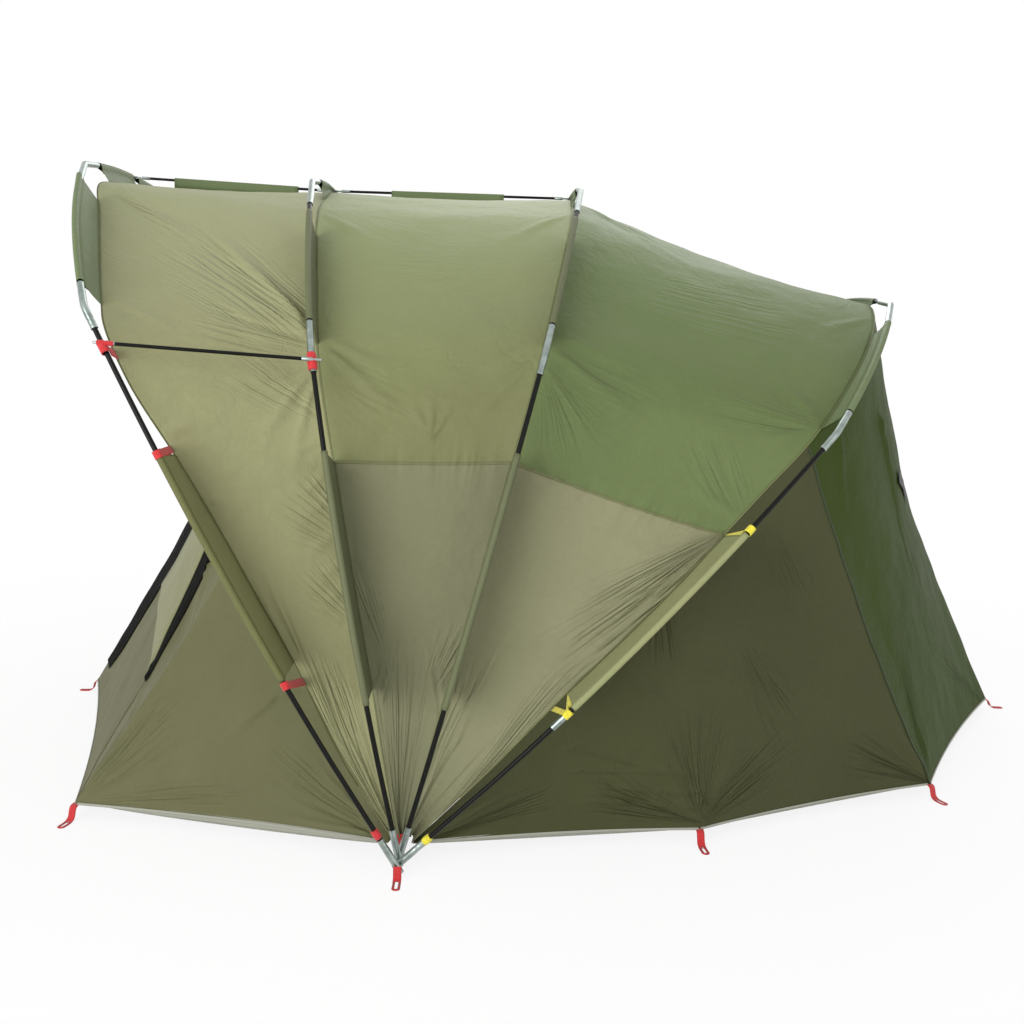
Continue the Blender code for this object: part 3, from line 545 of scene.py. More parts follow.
def arc_between(before, corner, after, radius, steps):
    """Places round a bend of this radius at a corner."""
    came = (corner - before).normalized()
    goes = (after - corner).normalized()
    turn = came.angle(goes)
    tangent = radius * math.tan(turn / 2)
    inward = (goes - came).normalized()
    centre = corner + inward * (radius / math.cos(turn / 2))
    first = (corner - came * tangent - centre).normalized()
    last = (corner + goes * tangent - centre).normalized()
    return [centre + first.slerp(last, i / steps) * radius for i in range(steps + 1)]


def same(value, count):
    """One value for each of so many points."""
    return [value] * count


def run(start, end, steps):
    """Places in a straight line."""
    return [start.lerp(end, i / steps) for i in range(steps + 1)]


# Where the crimped rings are: from a hub tube's pin, and from each end of an elbow
HUB_CRIMPS = (0.058, 0.070)
ELBOW_CRIMPS = (0.022, 0.011)
ELBOW_BEND = 0.045
# The elbows' other arms: the lower one's down the leg and up the shoulder, the upper one's down the shoulder
LOWER_ARM_DOWN = 0.055
LOWER_ARM_UP = 0.085
UPPER_ARM_DOWN = 0.160
# A leg ends this far before its elbow's corner, and a top pole goes on this far into its elbow
POLE_IN_ELBOW = 0.030


def crimped(place, rings, depth, width):
    """How far the crimped rings draw a tube in at this place along it."""
    return sum(depth * math.exp(-(((place - ring) / width) ** 2)) for ring in rings)


def steel_elbow(name, node, body, corner, first, first_arm, second, second_arm):
    """A bent steel tube with two crimped rings near each end, where it holds a pole."""
    start = corner + (first - corner).normalized() * first_arm
    end = corner + (second - corner).normalized() * second_arm
    bend = arc_between(start, corner, end, ELBOW_BEND, 14)
    path = run(start, bend[0], 12) + bend[1:-1] + run(bend[-1], end, 12)
    total = [0.0]
    for a, b in zip(path, path[1:]):
        total.append(total[-1] + (b - a).length)
    ends = [min(along, total[-1] - along) for along in total]
    radii = [STEEL_RADIUS - crimped(far, ELBOW_CRIMPS, 0.0007, 0.0035) for far in ends]
    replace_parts(tube(name, path, radii, body, STEEL, 20), node)


def pole_tube(name, node, path, body):
    """A length of pole in place of its CAD solid."""
    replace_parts(tube(name, path, same(POLE_RADIUS, len(path)), body, POLE), node)


for hoop in HOOPS.values():
    for side_name, side in SIDES.items():
        tag = f"{hoop.body}_{{}}_{side_name}"
        foot = (hoop.leg(0.2) - hoop.hub).normalized()
        flat = [hoop.hub + foot * d for d in (0.0795, 0.12, 0.17, 0.21)]
        flat += [hoop.leg(0.2 + 0.78 * k / 36) for k in range(37) if 0.2 + 0.78 * k / 36 < 0.965]
        legs = [hoop.space(p, side) for p in flat]
        knee = hoop.space(hoop.lower, side)
        down = (hoop.space(hoop.leg(0.93), side) - knee).normalized()
        legs.append(knee + down * POLE_IN_ELBOW)
        body = hoop.body
        pole_tube(tag.format("leg_pole"), tag.format("leg"), legs, body)
        reaches = [mm / 1000 for mm in range(-13, 81, 3)]
        hub_path = [hoop.space(hoop.hub + foot * d, side) for d in reaches]
        radii = [STEEL_RADIUS - crimped(d, HUB_CRIMPS, 0.0006, 0.004) for d in reaches]
        tube(tag.format("hub_tube"), hub_path, radii, body, STEEL, 20)
        steel_elbow(
            tag.format("lower_elbow_tube"),
            tag.format("lower_elbow"),
            body,
            knee,
            hoop.space(hoop.leg(0.93), side),
            LOWER_ARM_DOWN,
            hoop.space(hoop.shoulder(0.12), side),
            LOWER_ARM_UP,
        )
        shoulder = [hoop.space(hoop.shoulder(0.085 + 0.70 * k / 20), side) for k in range(21)]
        pole_tube(tag.format("shoulder_rod"), tag.format("shoulder_pole"), shoulder, body)
        top = hoop.space(hoop.upper, side)
        steel_elbow(
            tag.format("upper_elbow_tube"),
            tag.format("upper_elbow"),
            body,
            top,
            hoop.space(hoop.shoulder(0.75), side),
            UPPER_ARM_DOWN,
            hoop.space(hoop.arch(0), side),
            ELBOW_ARM,
        )
    arch = [hoop.space(hoop.arch(k / 20), -1) for k in range(21)]
    straight = (arch[0] - arch[1]).normalized()
    arch = [arch[0] + straight * POLE_IN_ELBOW, *arch]
    pole_tube(f"{hoop.body}_roof_pole", f"{hoop.body}_top_pole", both_sides(arch), hoop.body)

# ---------------------------------------------------------------- cloth panels


INSIDE = Vector((0.15, 0, 0.35))  # a place well inside the tent, which every sheet faces away from


class Panel:
    """A sheet between two rails, sagged inwards, whose wrinkles are placed by pixels of the photograph."""

    def __init__(self, name, first, second, sag, rows, fold):
        self.name = name
        self.fold = fold
        self.rows = rows
        self.columns = len(first) - 1
        self.grid = []
        self.ways = []
        for r in range(rows + 1):
            part = r / rows
            line, ways = [], []
            for a, b in zip(first, second):
                flat = a.lerp(b, part)
                away = (flat - INSIDE).normalized()
                line.append(flat - away * sag * 4 * part * (1 - part))
                ways.append(away)
            self.grid.append(line)
            self.ways.append(ways)
        self.normals = self.surface_normals()
        self.metres()

    def surface_normals(self):
        """The sheet's outward normals at its rows and columns."""
        found = []
        for r in range(self.rows + 1):
            line = []
            for c in range(self.columns + 1):
                a = self.grid[max(r - 1, 0)][c]
                b = self.grid[min(r + 1, self.rows)][c]
                d = self.grid[r][max(c - 1, 0)]
                e = self.grid[r][min(c + 1, self.columns)]
                normal = (b - a).cross(e - d)
                if normal.length < 1e-9:
                    normal = self.ways[r][c].copy()
                normal.normalize()
                if normal.dot(self.ways[r][c]) < 0:
                    normal = -normal
                line.append(normal)
            found.append(line)
        return found

    def metres(self):
        """Flat places in metres: along the rails and across between them."""
        middle = self.grid[self.rows // 2]
        run_length = [0.0]
        for a, b in zip(middle, middle[1:]):
            run_length.append(run_length[-1] + (b - a).length)
        self.along = run_length
        self.across = []
        for c in range(self.columns + 1):
            width = [0.0]
            for r in range(self.rows):
                width.append(width[-1] + (self.grid[r + 1][c] - self.grid[r][c]).length)
            half = width[-1] / 2
            self.across.append([w - half for w in width])

    def flat(self, r, c):
        """The flat place of a row and column, in metres."""
        return Vector((self.along[c], self.across[c][r]))

    def folded_flat(self, r, c):
        """The flat place with the far half laid over the near one, so that both halves share a pattern."""
        return min(self.along[c], self.along[-1] - self.along[c]), self.across[c][r]

    def spot(self, x, y):
        """The row and column, with their fractions, that show at this pixel on the near side."""
        best, found = 1e9, (0, 0)
        for r in range(self.rows + 1):
            for c in range(self.columns // 2 + 1):
                u, v = self.seen[r][c]
                far = (u - x) ** 2 + (v - y) ** 2
                if far < best:
                    best, found = far, (r, c)
        r, c = (min(max(found[0], 1), self.rows - 1), min(max(found[1], 1), self.columns - 1))
        here, right, below = self.seen[r][c], self.seen[r][c + 1], self.seen[r + 1][c]
        ax, ay, bx, by = right[0] - here[0], right[1] - here[1], below[0] - here[0], below[1] - here[1]
        whole = ax * by - ay * bx
        if abs(whole) < 1e-3:
            return float(r), float(c)
        dc = ((x - here[0]) * by - (y - here[1]) * bx) / whole
        dr = (ax * (y - here[1]) - ay * (x - here[0])) / whole
        row = min(max(r + max(min(dr, 1.5), -1.5), 0), self.rows)
        return row, min(max(c + max(min(dc, 1.5), -1.5), 0), self.columns / 2)

    def locate(self, x, y):
        """The flat place that shows at this pixel."""
        r, c = self.spot(x, y)
        return self.flat(round(r), round(c))

    def at(self, row, column):
        """The place and the normal at a row and column with fractions."""
        r, c = min(int(row), self.rows - 1), min(int(column), self.columns - 1)
        v, u = row - r, column - c
        found = []
        for field in (self.grid, self.normals):
            top = field[r][c].lerp(field[r][c + 1], u)
            low = field[r + 1][c].lerp(field[r + 1][c + 1], u)
            found.append(top.lerp(low, v))
        return found[0], found[1].normalized()

    def fans(self, table):
        """Fans of fine folds from pixels: start, end, lengths from the origin back of the start, half width
        at the end in metres, count, height."""
        found = []
        for x0, y0, x1, y1, back, half, count, height in table:
            start, end = self.locate(x0, y0), self.locate(x1, y1)
            origin = start - (end - start) * back
            near = back / (1 + back)
            spread = half / max((end - origin).length, 0.01)
            found.append((origin, end, near, spread, count, height))
        return found

    def edge(self, pixels):
        """The straight line on the sheet nearest to these pixels, as a column at each row, and its last row.

        Above the first of them the line keeps its column.
        """
        spots = [self.spot(x, y) for x, y in pixels]
        row_mean = sum(r for r, _ in spots) / len(spots)
        column_mean = sum(c for _, c in spots) / len(spots)
        steep = sum((r - row_mean) * (c - column_mean) for r, c in spots)
        steep /= sum((r - row_mean) ** 2 for r, _ in spots)
        first, last = min(spots)[0], max(spots)[0]
        return lambda row: column_mean + steep * (max(row, first) - row_mean), last

    def cover(self, name, first, last, near, far, look, lift, across=12, down=60):
        """A second cloth over the sheet between two rows, from one column to another at each row."""
        lines = []
        for i in range(down + 1):
            row = first + (last - first) * i / down
            line = []
            for k in range(across + 1):
                share = k / across
                place, normal = self.at(row, near(row) * (1 - share) + far(row) * share)
                line.append(place + normal * (lift + 0.002 * 4 * share * (1 - share)))
            lines.append(line)
        obj = as_piece(name, grid_mesh(name, lines), self.fold[0], look)
        declared(obj, TRIM_THICKNESS)
        self.folded(obj)

    def tape(self, name, spots, widths, look, lift=0.0012, steps=40, crown=0.0):
        """A strip of tape laid on the sheet through these (row, column) spots, with its width at each."""
        rows = []
        for k in range(steps + 1):
            where = k / steps * (len(spots) - 1)
            i = min(int(where), len(spots) - 2)
            t = where - i
            row = spots[i][0] * (1 - t) + spots[i + 1][0] * t
            column = spots[i][1] * (1 - t) + spots[i + 1][1] * t
            width = widths[i] * (1 - t) + widths[i + 1] * t
            rows.append((*self.at(row, column), width))
        lines = []
        for i, (place, normal, width) in enumerate(rows):
            way = rows[min(i + 1, steps)][0] - rows[max(i - 1, 0)][0]
            aside = normal.cross(way).normalized()
            line = []
            for j in range(5):
                across = (j - 2) / 2
                rise = lift + crown * (1 - across * across)
                line.append(place + aside * width / 2 * across + normal * rise)
            lines.append(line)
        obj = as_piece(name, grid_mesh(name, lines), self.fold[0], look)
        declared(obj, TRIM_THICKNESS)
        self.folded(obj)

    def tapes(self, name, spots, widths, look, **options):
        """The same tape on both halves."""
        self.tape(name + "_left", spots, widths, look, **options)
        other = [(row, self.columns - column) for row, column in spots]
        self.tape(name + "_right", other, widths, look, **options)

    def folded(self, obj):
        """Gives a piece of this sheet its own copy of its mesh."""
        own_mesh(obj)

    def project(self):
        """Finds the pixel of each place, for what is given in pixels."""
        self.seen = [[pixel(p) for p in line] for line in self.grid]

    def wrinkle(self, lines):
        """Folds between pixels: (x0, y0, x1, y1, half width, height), with the last two in metres."""
        self.project()
        total = self.along[-1]
        shifts = [[0.0] * (self.columns + 1) for _ in range(self.rows + 1)]
        placed = []
        for x0, y0, x1, y1, width, height in lines:
            a, b = self.locate(x0, y0), self.locate(x1, y1)
            placed.append((a, b, width, height))
            mirror_a, mirror_b = (Vector((total - p.x, p.y)) for p in (a, b))
            placed.append((mirror_a, mirror_b, width * 1.1, height * 0.8))
        for a, b, width, height in placed:
            way = b - a
            length = max(way.length, 1e-4)
            way /= length
            for r in range(self.rows + 1):
                for c in range(self.columns + 1):
                    p = self.flat(r, c) - a
                    t = p.dot(way)
                    if t < -2 * width or t > length + 2 * width:
                        continue
                    d = p.x * way.y - p.y * way.x
                    spread = width * (0.6 + 0.8 * min(max(t / length, 0), 1))
                    if abs(d) > 3 * spread:
                        continue
                    q = (d / spread) ** 2
                    over = max(0.0, -t, t - length)
                    share = min(max(t / length, 0), 1)
                    fade = (1 - share) ** 0.7 * math.exp(-((over / width) ** 2))
                    shifts[r][c] += 1.4 * height * fade * (1 - 0.8 * q) * math.exp(-q)
        self.shift(shifts)

    def shift(self, shifts):
        """Moves the sheet along its normals, less towards its rails."""
        for r in range(self.rows + 1):
            for c in range(self.columns + 1):
                edge = min(r, self.rows - r) / self.rows
                hold = min(1.0, edge * 12)
                self.grid[r][c] = self.grid[r][c] + self.normals[r][c] * shifts[r][c] * hold

    def rumple(self, height, size, seed):
        """Slow uneven waves all over the sheet."""
        shifts = []
        for r in range(self.rows + 1):
            line = []
            for c in range(self.columns + 1):
                p = self.flat(r, c) / size
                value = noise.noise(Vector((p.x, p.y, seed)))
                value += 0.5 * noise.noise(Vector((p.x * 2.3, p.y * 2.3, seed + 7)))
                line.append(value * height)
            shifts.append(line)
        self.shift(shifts)

    def pucker(self, column, reach, pitch, height):
        """Short gathers along a seam that crosses the sheet at a column, on both halves."""
        for seam in (column, self.columns - column):
            shifts = [[0.0] * (self.columns + 1) for _ in range(self.rows + 1)]
            for r in range(self.rows + 1):
                uneven = 3 * noise.noise(Vector((r * 0.37, seam, 1)))
                for c in range(self.columns + 1):
                    far = abs(self.along[c] - self.along[seam])
                    if far > 3 * reach:
                        continue
                    wave = math.sin(self.across[c][r] / pitch * 2 * math.pi + uneven)
                    shifts[r][c] = height * wave * math.exp(-far / reach)
                    if far < 0.009:
                        shifts[r][c] -= height
            self.shift(shifts)

    def build(self, node, looks, look_of=None):
        """Makes the sheet in place of its CAD solid."""
        body = self.fold[0]
        mesh = grid_mesh(self.name, self.grid, self.folded_flat, look_of)
        obj = as_piece(self.name, mesh, body, *looks)
        declared(obj, SHEET_THICKNESS)
        self.folded(obj)
        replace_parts(obj, node)
        self.normals = self.surface_normals()
        self.project()


HALF = COLUMNS * COLUMN_STEPS
HEM_Z = 0.038
HEM_SAG = 0.018
SHEET_OFFSET = 0.0007  # keeps two sheets that share a hoop apart
DOOR_INSET = 0.0017  # and draws the front wall inside the canopies
FRONT_CORNER = Vector((-0.800, 0.994, HEM_Z))
FRONT_CENTRE = Vector((-1.083, 0, HEM_Z))
FLANK_CORNER = Vector((0.705, 1.080, HEM_Z))
REAR_CORNER = Vector((1.386, 0.776, HEM_Z))
REAR_CENTRE = Vector((1.895, 0, 0.032))


def hem_run(start, end, steps):
    """The hem from one peg loop to the next, drawn in between them."""
    made = []
    inward = Vector((end.y - start.y, start.x - end.x, 0)).normalized()
    inward *= -math.copysign(1, inward.dot(start + end))
    for i in range(1, steps + 1):
        t = i / steps
        made.append(start.lerp(end, t) + inward * HEM_SAG * 4 * t * (1 - t))
    return made


def ground_rail(forward, stops, extra):
    """A wall's hem through its corners, each at its own column."""
    line = [Vector((forward * 0.028, CLOTH_HUB.y - extra, 0.044))]
    column = 0
    for corner, end_column in stops:
        line += hem_run(line[-1], corner, (end_column - column) * COLUMN_STEPS)
        column = end_column
    half = [Vector((HUB.x + p.x, -p.y, p.z)) for p in line]
    return both_sides(half)


def halves(column):
    """The first cloth up to the seam at this column, and the second beyond it."""
    return lambda r, c: int(min(c, 2 * HALF - 1 - c) >= column * COLUMN_STEPS)


tail_hem = ground_rail(1, [(FLANK_CORNER, 3), (REAR_CORNER, 7), (REAR_CENTRE, 14)], 0)
door_hem = ground_rail(-1, [(FRONT_CORNER, 7), (FRONT_CENTRE, 14)], DOOR_INSET)


def between(name, front, rear, sag, fold):
    """A roof sheet from one hoop back to the next."""
    first = hoop_rail(HOOPS[front], 0, -SHEET_OFFSET)
    second = hoop_rail(HOOPS[rear], 0, SHEET_OFFSET)
    return Panel(name, first, second, sag, ROWS, fold)


# Each fold: body, joint, the hoop that the sheet flattens against, and what is kept of its depth
porch = between("porch_canopy_cloth", 1, 2, 0.004, ("hoop_2", "hoop_1_fold", HOOPS[2], 0.129))
mid = between("mid_canopy_cloth", 2, 3, 0.010, ("hoop_3", "hoop_2_fold", HOOPS[3], 0.090))
rear = between("rear_canopy_cloth", 3, 4, 0.022, ("hoop_4", "hoop_3_fold", HOOPS[4], 0.075))
tail_fold = ("hoop_4", "hoop_4_fold", HOOPS[4], 0.14)
tail_top = hoop_rail(HOOPS[4], 0, -SHEET_OFFSET)
tail = Panel("rear_wall_cloth", tail_top, tail_hem, 0.022, ROWS, tail_fold)
door_fold = ("hoop_2", "hoop_2_fold", HOOPS[2], 0.02)
door_top = hoop_rail(HOOPS[2], DOOR_INSET, SHEET_OFFSET)
door = Panel("front_wall_cloth", door_top, door_hem, 0.050, ROWS, door_fold)

# Folds in each sheet: from the pixel where it is deepest to the one where it dies out, half width, height
PORCH_FOLDS = [
    (312, 340, 250, 300, 0.014, 0.007),
    (308, 332, 236, 262, 0.016, 0.008),
    (306, 325, 214, 232, 0.018, 0.007),
    (300, 318, 190, 214, 0.016, 0.005),
    (304, 340, 200, 310, 0.020, -0.006),
    (306, 366, 248, 392, 0.014, -0.005),
    (310, 372, 262, 440, 0.014, 0.006),
    (316, 380, 292, 470, 0.012, 0.005),
    (300, 650, 262, 560, 0.014, 0.005),
    (330, 470, 300, 492, 0.010, 0.004),
    (338, 530, 306, 556, 0.010, 0.004),
    (344, 590, 318, 612, 0.010, 0.004),
    (120, 190, 190, 240, 0.018, 0.005),
    (110, 300, 180, 330, 0.018, 0.004),
    (150, 440, 196, 420, 0.012, 0.005),
    (180, 500, 226, 500, 0.012, 0.004),
    (396, 838, 344, 722, 0.006, 0.004),
    (395, 836, 362, 700, 0.006, 0.004),
    (392, 834, 322, 742, 0.005, -0.004),
    (388, 826, 336, 762, 0.004, 0.003),
    (278, 640, 246, 560, 0.012, 0.005),
    (316, 420, 280, 400, 0.010, 0.004),
    (322, 440, 292, 452, 0.009, 0.004),
    (326, 500, 300, 520, 0.009, 0.004),
    (340, 560, 314, 584, 0.009, 0.004),
]
MID_FOLDS = [
    (330, 340, 392, 372, 0.018, 0.005),
    (334, 356, 404, 420, 0.018, 0.006),
    (545, 340, 480, 372, 0.018, 0.005),
    (540, 356, 470, 420, 0.018, 0.005),
    (325, 215, 390, 250, 0.020, 0.005),
    (570, 215, 500, 244, 0.020, 0.005),
    (432, 432, 432, 398, 0.012, 0.006),
    (436, 434, 452, 404, 0.010, 0.005),
    (428, 434, 414, 406, 0.010, 0.005),
    (382, 700, 400, 620, 0.010, 0.004),
    (440, 720, 424, 640, 0.010, 0.004),
    (398, 836, 384, 730, 0.005, 0.004),
    (400, 836, 402, 700, 0.006, -0.004),
    (402, 836, 418, 740, 0.005, 0.004),
    (376, 690, 388, 650, 0.006, 0.003),
    (450, 700, 438, 660, 0.006, 0.003),
]
REAR_FOLDS = [
    (560, 336, 640, 372, 0.020, 0.006),
    (556, 350, 640, 420, 0.020, 0.007),
    (548, 372, 600, 452, 0.016, 0.005),
    (824, 432, 760, 440, 0.020, 0.007),
    (820, 430, 720, 396, 0.022, 0.006),
    (826, 424, 770, 370, 0.020, 0.006),
    (742, 520, 690, 486, 0.014, 0.006),
    (880, 320, 820, 330, 0.018, 0.005),
    (715, 535, 640, 560, 0.016, 0.007),
    (700, 555, 610, 600, 0.018, 0.007),
    (684, 575, 590, 636, 0.018, 0.007),
    (662, 598, 570, 668, 0.016, 0.006),
    (640, 622, 552, 694, 0.014, 0.006),
    (615, 650, 520, 704, 0.012, 0.004),
    (470, 700, 520, 610, 0.014, 0.004),
    (455, 745, 480, 690, 0.012, 0.003),
    (535, 455, 590, 520, 0.014, 0.005),
    (585, 205, 660, 250, 0.022, 0.006),
    (586, 200, 700, 268, 0.020, -0.005),
    (404, 838, 452, 742, 0.006, 0.004),
    (406, 838, 474, 724, 0.006, -0.004),
    (410, 838, 500, 732, 0.006, 0.004),
    (416, 838, 520, 746, 0.005, 0.003),
    (660, 590, 600, 612, 0.008, 0.005),
    (650, 604, 600, 644, 0.008, 0.005),
    (630, 628, 580, 660, 0.008, 0.005),
    (600, 660, 560, 700, 0.008, 0.005),
    (690, 556, 640, 580, 0.008, 0.005),
]
TAIL_FOLDS = [
    (700, 822, 640, 740, 0.016, 0.007),
    (700, 822, 604, 762, 0.014, 0.007),
    (700, 822, 576, 790, 0.012, 0.006),
    (702, 820, 700, 730, 0.016, 0.006),
    (704, 820, 748, 724, 0.016, 0.006),
    (706, 822, 800, 760, 0.014, 0.006),
    (708, 824, 826, 796, 0.010, 0.005),
    (570, 748, 716, 776, 0.012, 0.006),
    (590, 800, 730, 800, 0.010, 0.005),
    (700, 660, 790, 700, 0.020, 0.006),
    (640, 690, 720, 740, 0.018, 0.006),
    (930, 780, 872, 700, 0.016, 0.008),
    (930, 780, 840, 756, 0.014, 0.006),
    (932, 778, 905, 680, 0.014, 0.006),
    (838, 430, 846, 520, 0.016, 0.006),
    (760, 530, 800, 620, 0.020, 0.006),
    (934, 776, 965, 740, 0.012, 0.010),
    (880, 420, 910, 560, 0.018, 0.007),
    (436, 834, 520, 786, 0.008, 0.004),
    (440, 836, 560, 806, 0.008, -0.004),
    (700, 800, 640, 700, 0.010, 0.006),
    (690, 806, 600, 730, 0.008, 0.005),
    (580, 770, 690, 770, 0.008, 0.005),
    (600, 786, 720, 786, 0.008, 0.004),
]
DOOR_FOLDS = [
    (84, 792, 140, 700, 0.016, 0.006),
    (84, 794, 190, 730, 0.014, 0.006),
    (90, 798, 250, 790, 0.012, 0.005),
    (212, 556, 190, 640, 0.014, 0.006),
    (270, 700, 220, 740, 0.016, 0.005),
    (152, 668, 130, 740, 0.014, 0.005),
    (372, 830, 300, 740, 0.008, 0.005),
    (370, 832, 270, 780, 0.008, -0.004),
    (366, 832, 240, 804, 0.008, 0.004),
    (296, 690, 250, 700, 0.010, 0.004),
]

for panel, folds, rough, seed in (
    (porch, PORCH_FOLDS, 0.0030, 1),
    (mid, MID_FOLDS, 0.0030, 2),
    (rear, REAR_FOLDS, 0.0035, 3),
    (tail, TAIL_FOLDS, 0.0045, 4),
    (door, DOOR_FOLDS, 0.0045, 5),
):
    panel.rumple(rough, 0.17, seed)
    panel.wrinkle(folds)

# Fans of fine folds: start and end pixels, origin back of the start, half width, count, height
PORCH_FANS = [
    (312, 342, 140, 224, 0.7, 0.26, 15, 0.0040),
    (312, 350, 176, 316, 0.7, 0.13, 8, 0.0030),
    (318, 416, 230, 360, 1.2, 0.12, 9, 0.0026),
    (342, 530, 290, 484, 1.0, 0.20, 18, 0.0024),
    (354, 612, 306, 560, 1.0, 0.18, 16, 0.0024),
    (396, 838, 300, 640, 0.02, 0.13, 13, 0.0046),
    (104, 190, 200, 240, 0.2, 0.06, 6, 0.0026),
]
MID_FANS = [
    (400, 838, 402, 640, 0.02, 0.11, 10, 0.0036),
    (432, 690, 474, 628, 0.6, 0.07, 9, 0.0026),
    (384, 650, 352, 560, 0.6, 0.06, 7, 0.0022),
    (350, 258, 520, 268, 1.5, 0.16, 10, 0.0020),
    (336, 380, 420, 430, 1.2, 0.12, 8, 0.0014),
    (540, 380, 470, 420, 1.2, 0.12, 8, 0.0014),
    (340, 215, 470, 262, 0.5, 0.10, 8, 0.0020),
]
REAR_FANS = [
    (740, 534, 585, 616, 0.05, 0.12, 12, 0.0044),
    (700, 566, 560, 668, 0.3, 0.16, 12, 0.0040),
    (436, 834, 600, 664, 0.02, 0.11, 13, 0.0044),
    (408, 838, 470, 640, 0.02, 0.09, 9, 0.0034),
    (640, 292, 800, 330, 1.5, 0.20, 11, 0.0024),
    (742, 520, 700, 430, 1.0, 0.09, 8, 0.0024),
    (552, 360, 660, 420, 1.2, 0.16, 9, 0.0018),
    (548, 380, 580, 460, 0.3, 0.10, 8, 0.0028),
    (826, 428, 700, 396, 0.6, 0.13, 9, 0.0022),
    (590, 212, 740, 262, 0.6, 0.07, 7, 0.0022),
]
TAIL_FANS = [
    (702, 824, 690, 700, 0.15, 0.14, 10, 0.0040),
    (702, 824, 800, 734, 0.15, 0.12, 9, 0.0046),
    (700, 822, 580, 786, 0.03, 0.09, 8, 0.0050),
    (930, 782, 840, 744, 0.03, 0.09, 8, 0.0060),
    (930, 782, 900, 640, 0.02, 0.08, 7, 0.0050),
    (660, 604, 668, 672, 0.5, 0.07, 6, 0.0050),
    (436, 836, 560, 790, 0.02, 0.06, 7, 0.0040),
    (740, 640, 800, 740, 0.6, 0.12, 8, 0.0040),
    (770, 520, 820, 640, 0.6, 0.10, 7, 0.0036),
    (890, 470, 940, 660, 0.4, 0.12, 8, 0.0040),
    (982, 700, 930, 640, 0.05, 0.10, 7, 0.0050),
]
DOOR_FANS = [
    (84, 794, 176, 690, 0.3, 0.10, 8, 0.0034),
    (372, 830, 250, 740, 0.2, 0.09, 8, 0.0026),
    (90, 800, 260, 790, 0.3, 0.05, 6, 0.0026),
    (206, 560, 160, 690, 0.3, 0.10, 7, 0.0040),
]
# The porch, the lower roof and the front wall are one khaki cloth, and the upper roof is one green cloth.
# Each sheet has its own copy with its own brightness, which paints in part of the light and shade on that
# sheet: the porch's copy is the lightest, the front wall's the darkest. Their top colours are painted light
# from above.
KHAKI = polyester("khaki_polyester", "#8b8b66", top="#999c76", fans=porch.fans(PORCH_FANS))
GREEN = polyester("green_polyester", "#71744e", top="#8e986e", fans=mid.fans(MID_FANS))
OLIVE_LOW = polyester("olive_polyester", "#747559", fans=mid.fans(MID_FANS))
GREEN_REAR = polyester("rear_canopy_green_polyester", "#5f6c44", top="#6f7f54", fans=rear.fans(REAR_FANS))
OLIVE_REAR = polyester("rear_canopy_olive_polyester", "#7f7f62", fans=rear.fans(REAR_FANS))
DARK = polyester("dark_olive_polyester", "#41432a", fans=tail.fans(TAIL_FANS), shine=0.10)
TAIL = polyester("rear_green_polyester", "#37441c", top="#586840", fans=tail.fans(TAIL_FANS), shine=0.04)
DOOR = polyester("door_olive_polyester", "#616145", fans=door.fans(DOOR_FANS), shine=0.06)

# The columns of the seams that run across the roof's sheets and down the rear wall
SEAM_COLUMN = 5
WALL_SEAM_COLUMN = 7
mid.pucker(SEAM_COLUMN * COLUMN_STEPS, 0.030, 0.050, 0.0018)
rear.pucker(SEAM_COLUMN * COLUMN_STEPS, 0.030, 0.055, 0.0020)

porch.build("porch_canopy", (KHAKI,))
mid.build("mid_canopy", (OLIVE_LOW, GREEN), halves(SEAM_COLUMN))
rear.build("rear_canopy", (OLIVE_REAR, GREEN_REAR), halves(SEAM_COLUMN))
tail.build("rear_wall", (DARK, TAIL), halves(WALL_SEAM_COLUMN))
door.build("front_wall", (DOOR,))

# ---------------------------------------------------------------- seams and edges of the sheets

SEAM_WIDTH = 0.007
SEAM_CROWN = 0.0004  # how much thicker a seam is in its middle
PIPING_WIDTH = 0.006
TAB_WIDTH = 0.040

def column_spots(panel, column, steps=24):
    """Spots down a whole column of a sheet."""
    return [(panel.rows * k / steps, column * COLUMN_STEPS) for k in range(steps + 1)]


for panel, column, look in (
    (mid, SEAM_COLUMN, SEAM_GREEN),
    (rear, SEAM_COLUMN, SEAM_GREEN),
    (tail, WALL_SEAM_COLUMN, SEAM_TAIL),
):
    spots = column_spots(panel, column)
    widths = same(SEAM_WIDTH, len(spots))
    panel.tapes(panel.name + "_seam", spots, widths, look, steps=90, crown=SEAM_CROWN)


def piping(panel, name, start, end, width, look):
    """A bound edge along the hem between two columns, on both halves."""
    spots = [(panel.rows - 0.05, start + (end - start) * k / 60) for k in range(61)]
    panel.tapes(name, spots, same(width, 61), look, steps=120, crown=SEAM_CROWN)


piping(tail, "rear_hem_piping", 1, HALF, PIPING_WIDTH, HEM_GREY)
piping(door, "front_hem_piping", 1, HALF, PIPING_WIDTH, HEM_GREY)


def skirt(panel, name, start, end, depth):
    """The light skirt that hangs a little below the hem, deepest at its middle."""
    for half_name, flip in (("left", False), ("right", True)):
        top, low = [], []
        for k in range(61):
            share = k / 60
            column = start + (end - start) * share
            column = panel.columns - column if flip else column
            place, normal = panel.at(panel.rows, column)
            drop = depth * math.sin(math.pi * share) ** 0.6
            top.append(place - normal * 0.0012 + Vector((0, 0, 0.006)))
            low.append(place - normal * 0.0020 - Vector((0, 0, drop)))
        mid_line = [a.lerp(b, 0.6) for a, b in zip(top, low)]
        lines = [top, mid_line, low]
        obj = as_piece(f"{name}_{half_name}", grid_mesh(name, lines), panel.fold[0], HEM_GREY)
        declared(obj, TRIM_THICKNESS)
        panel.folded(obj)


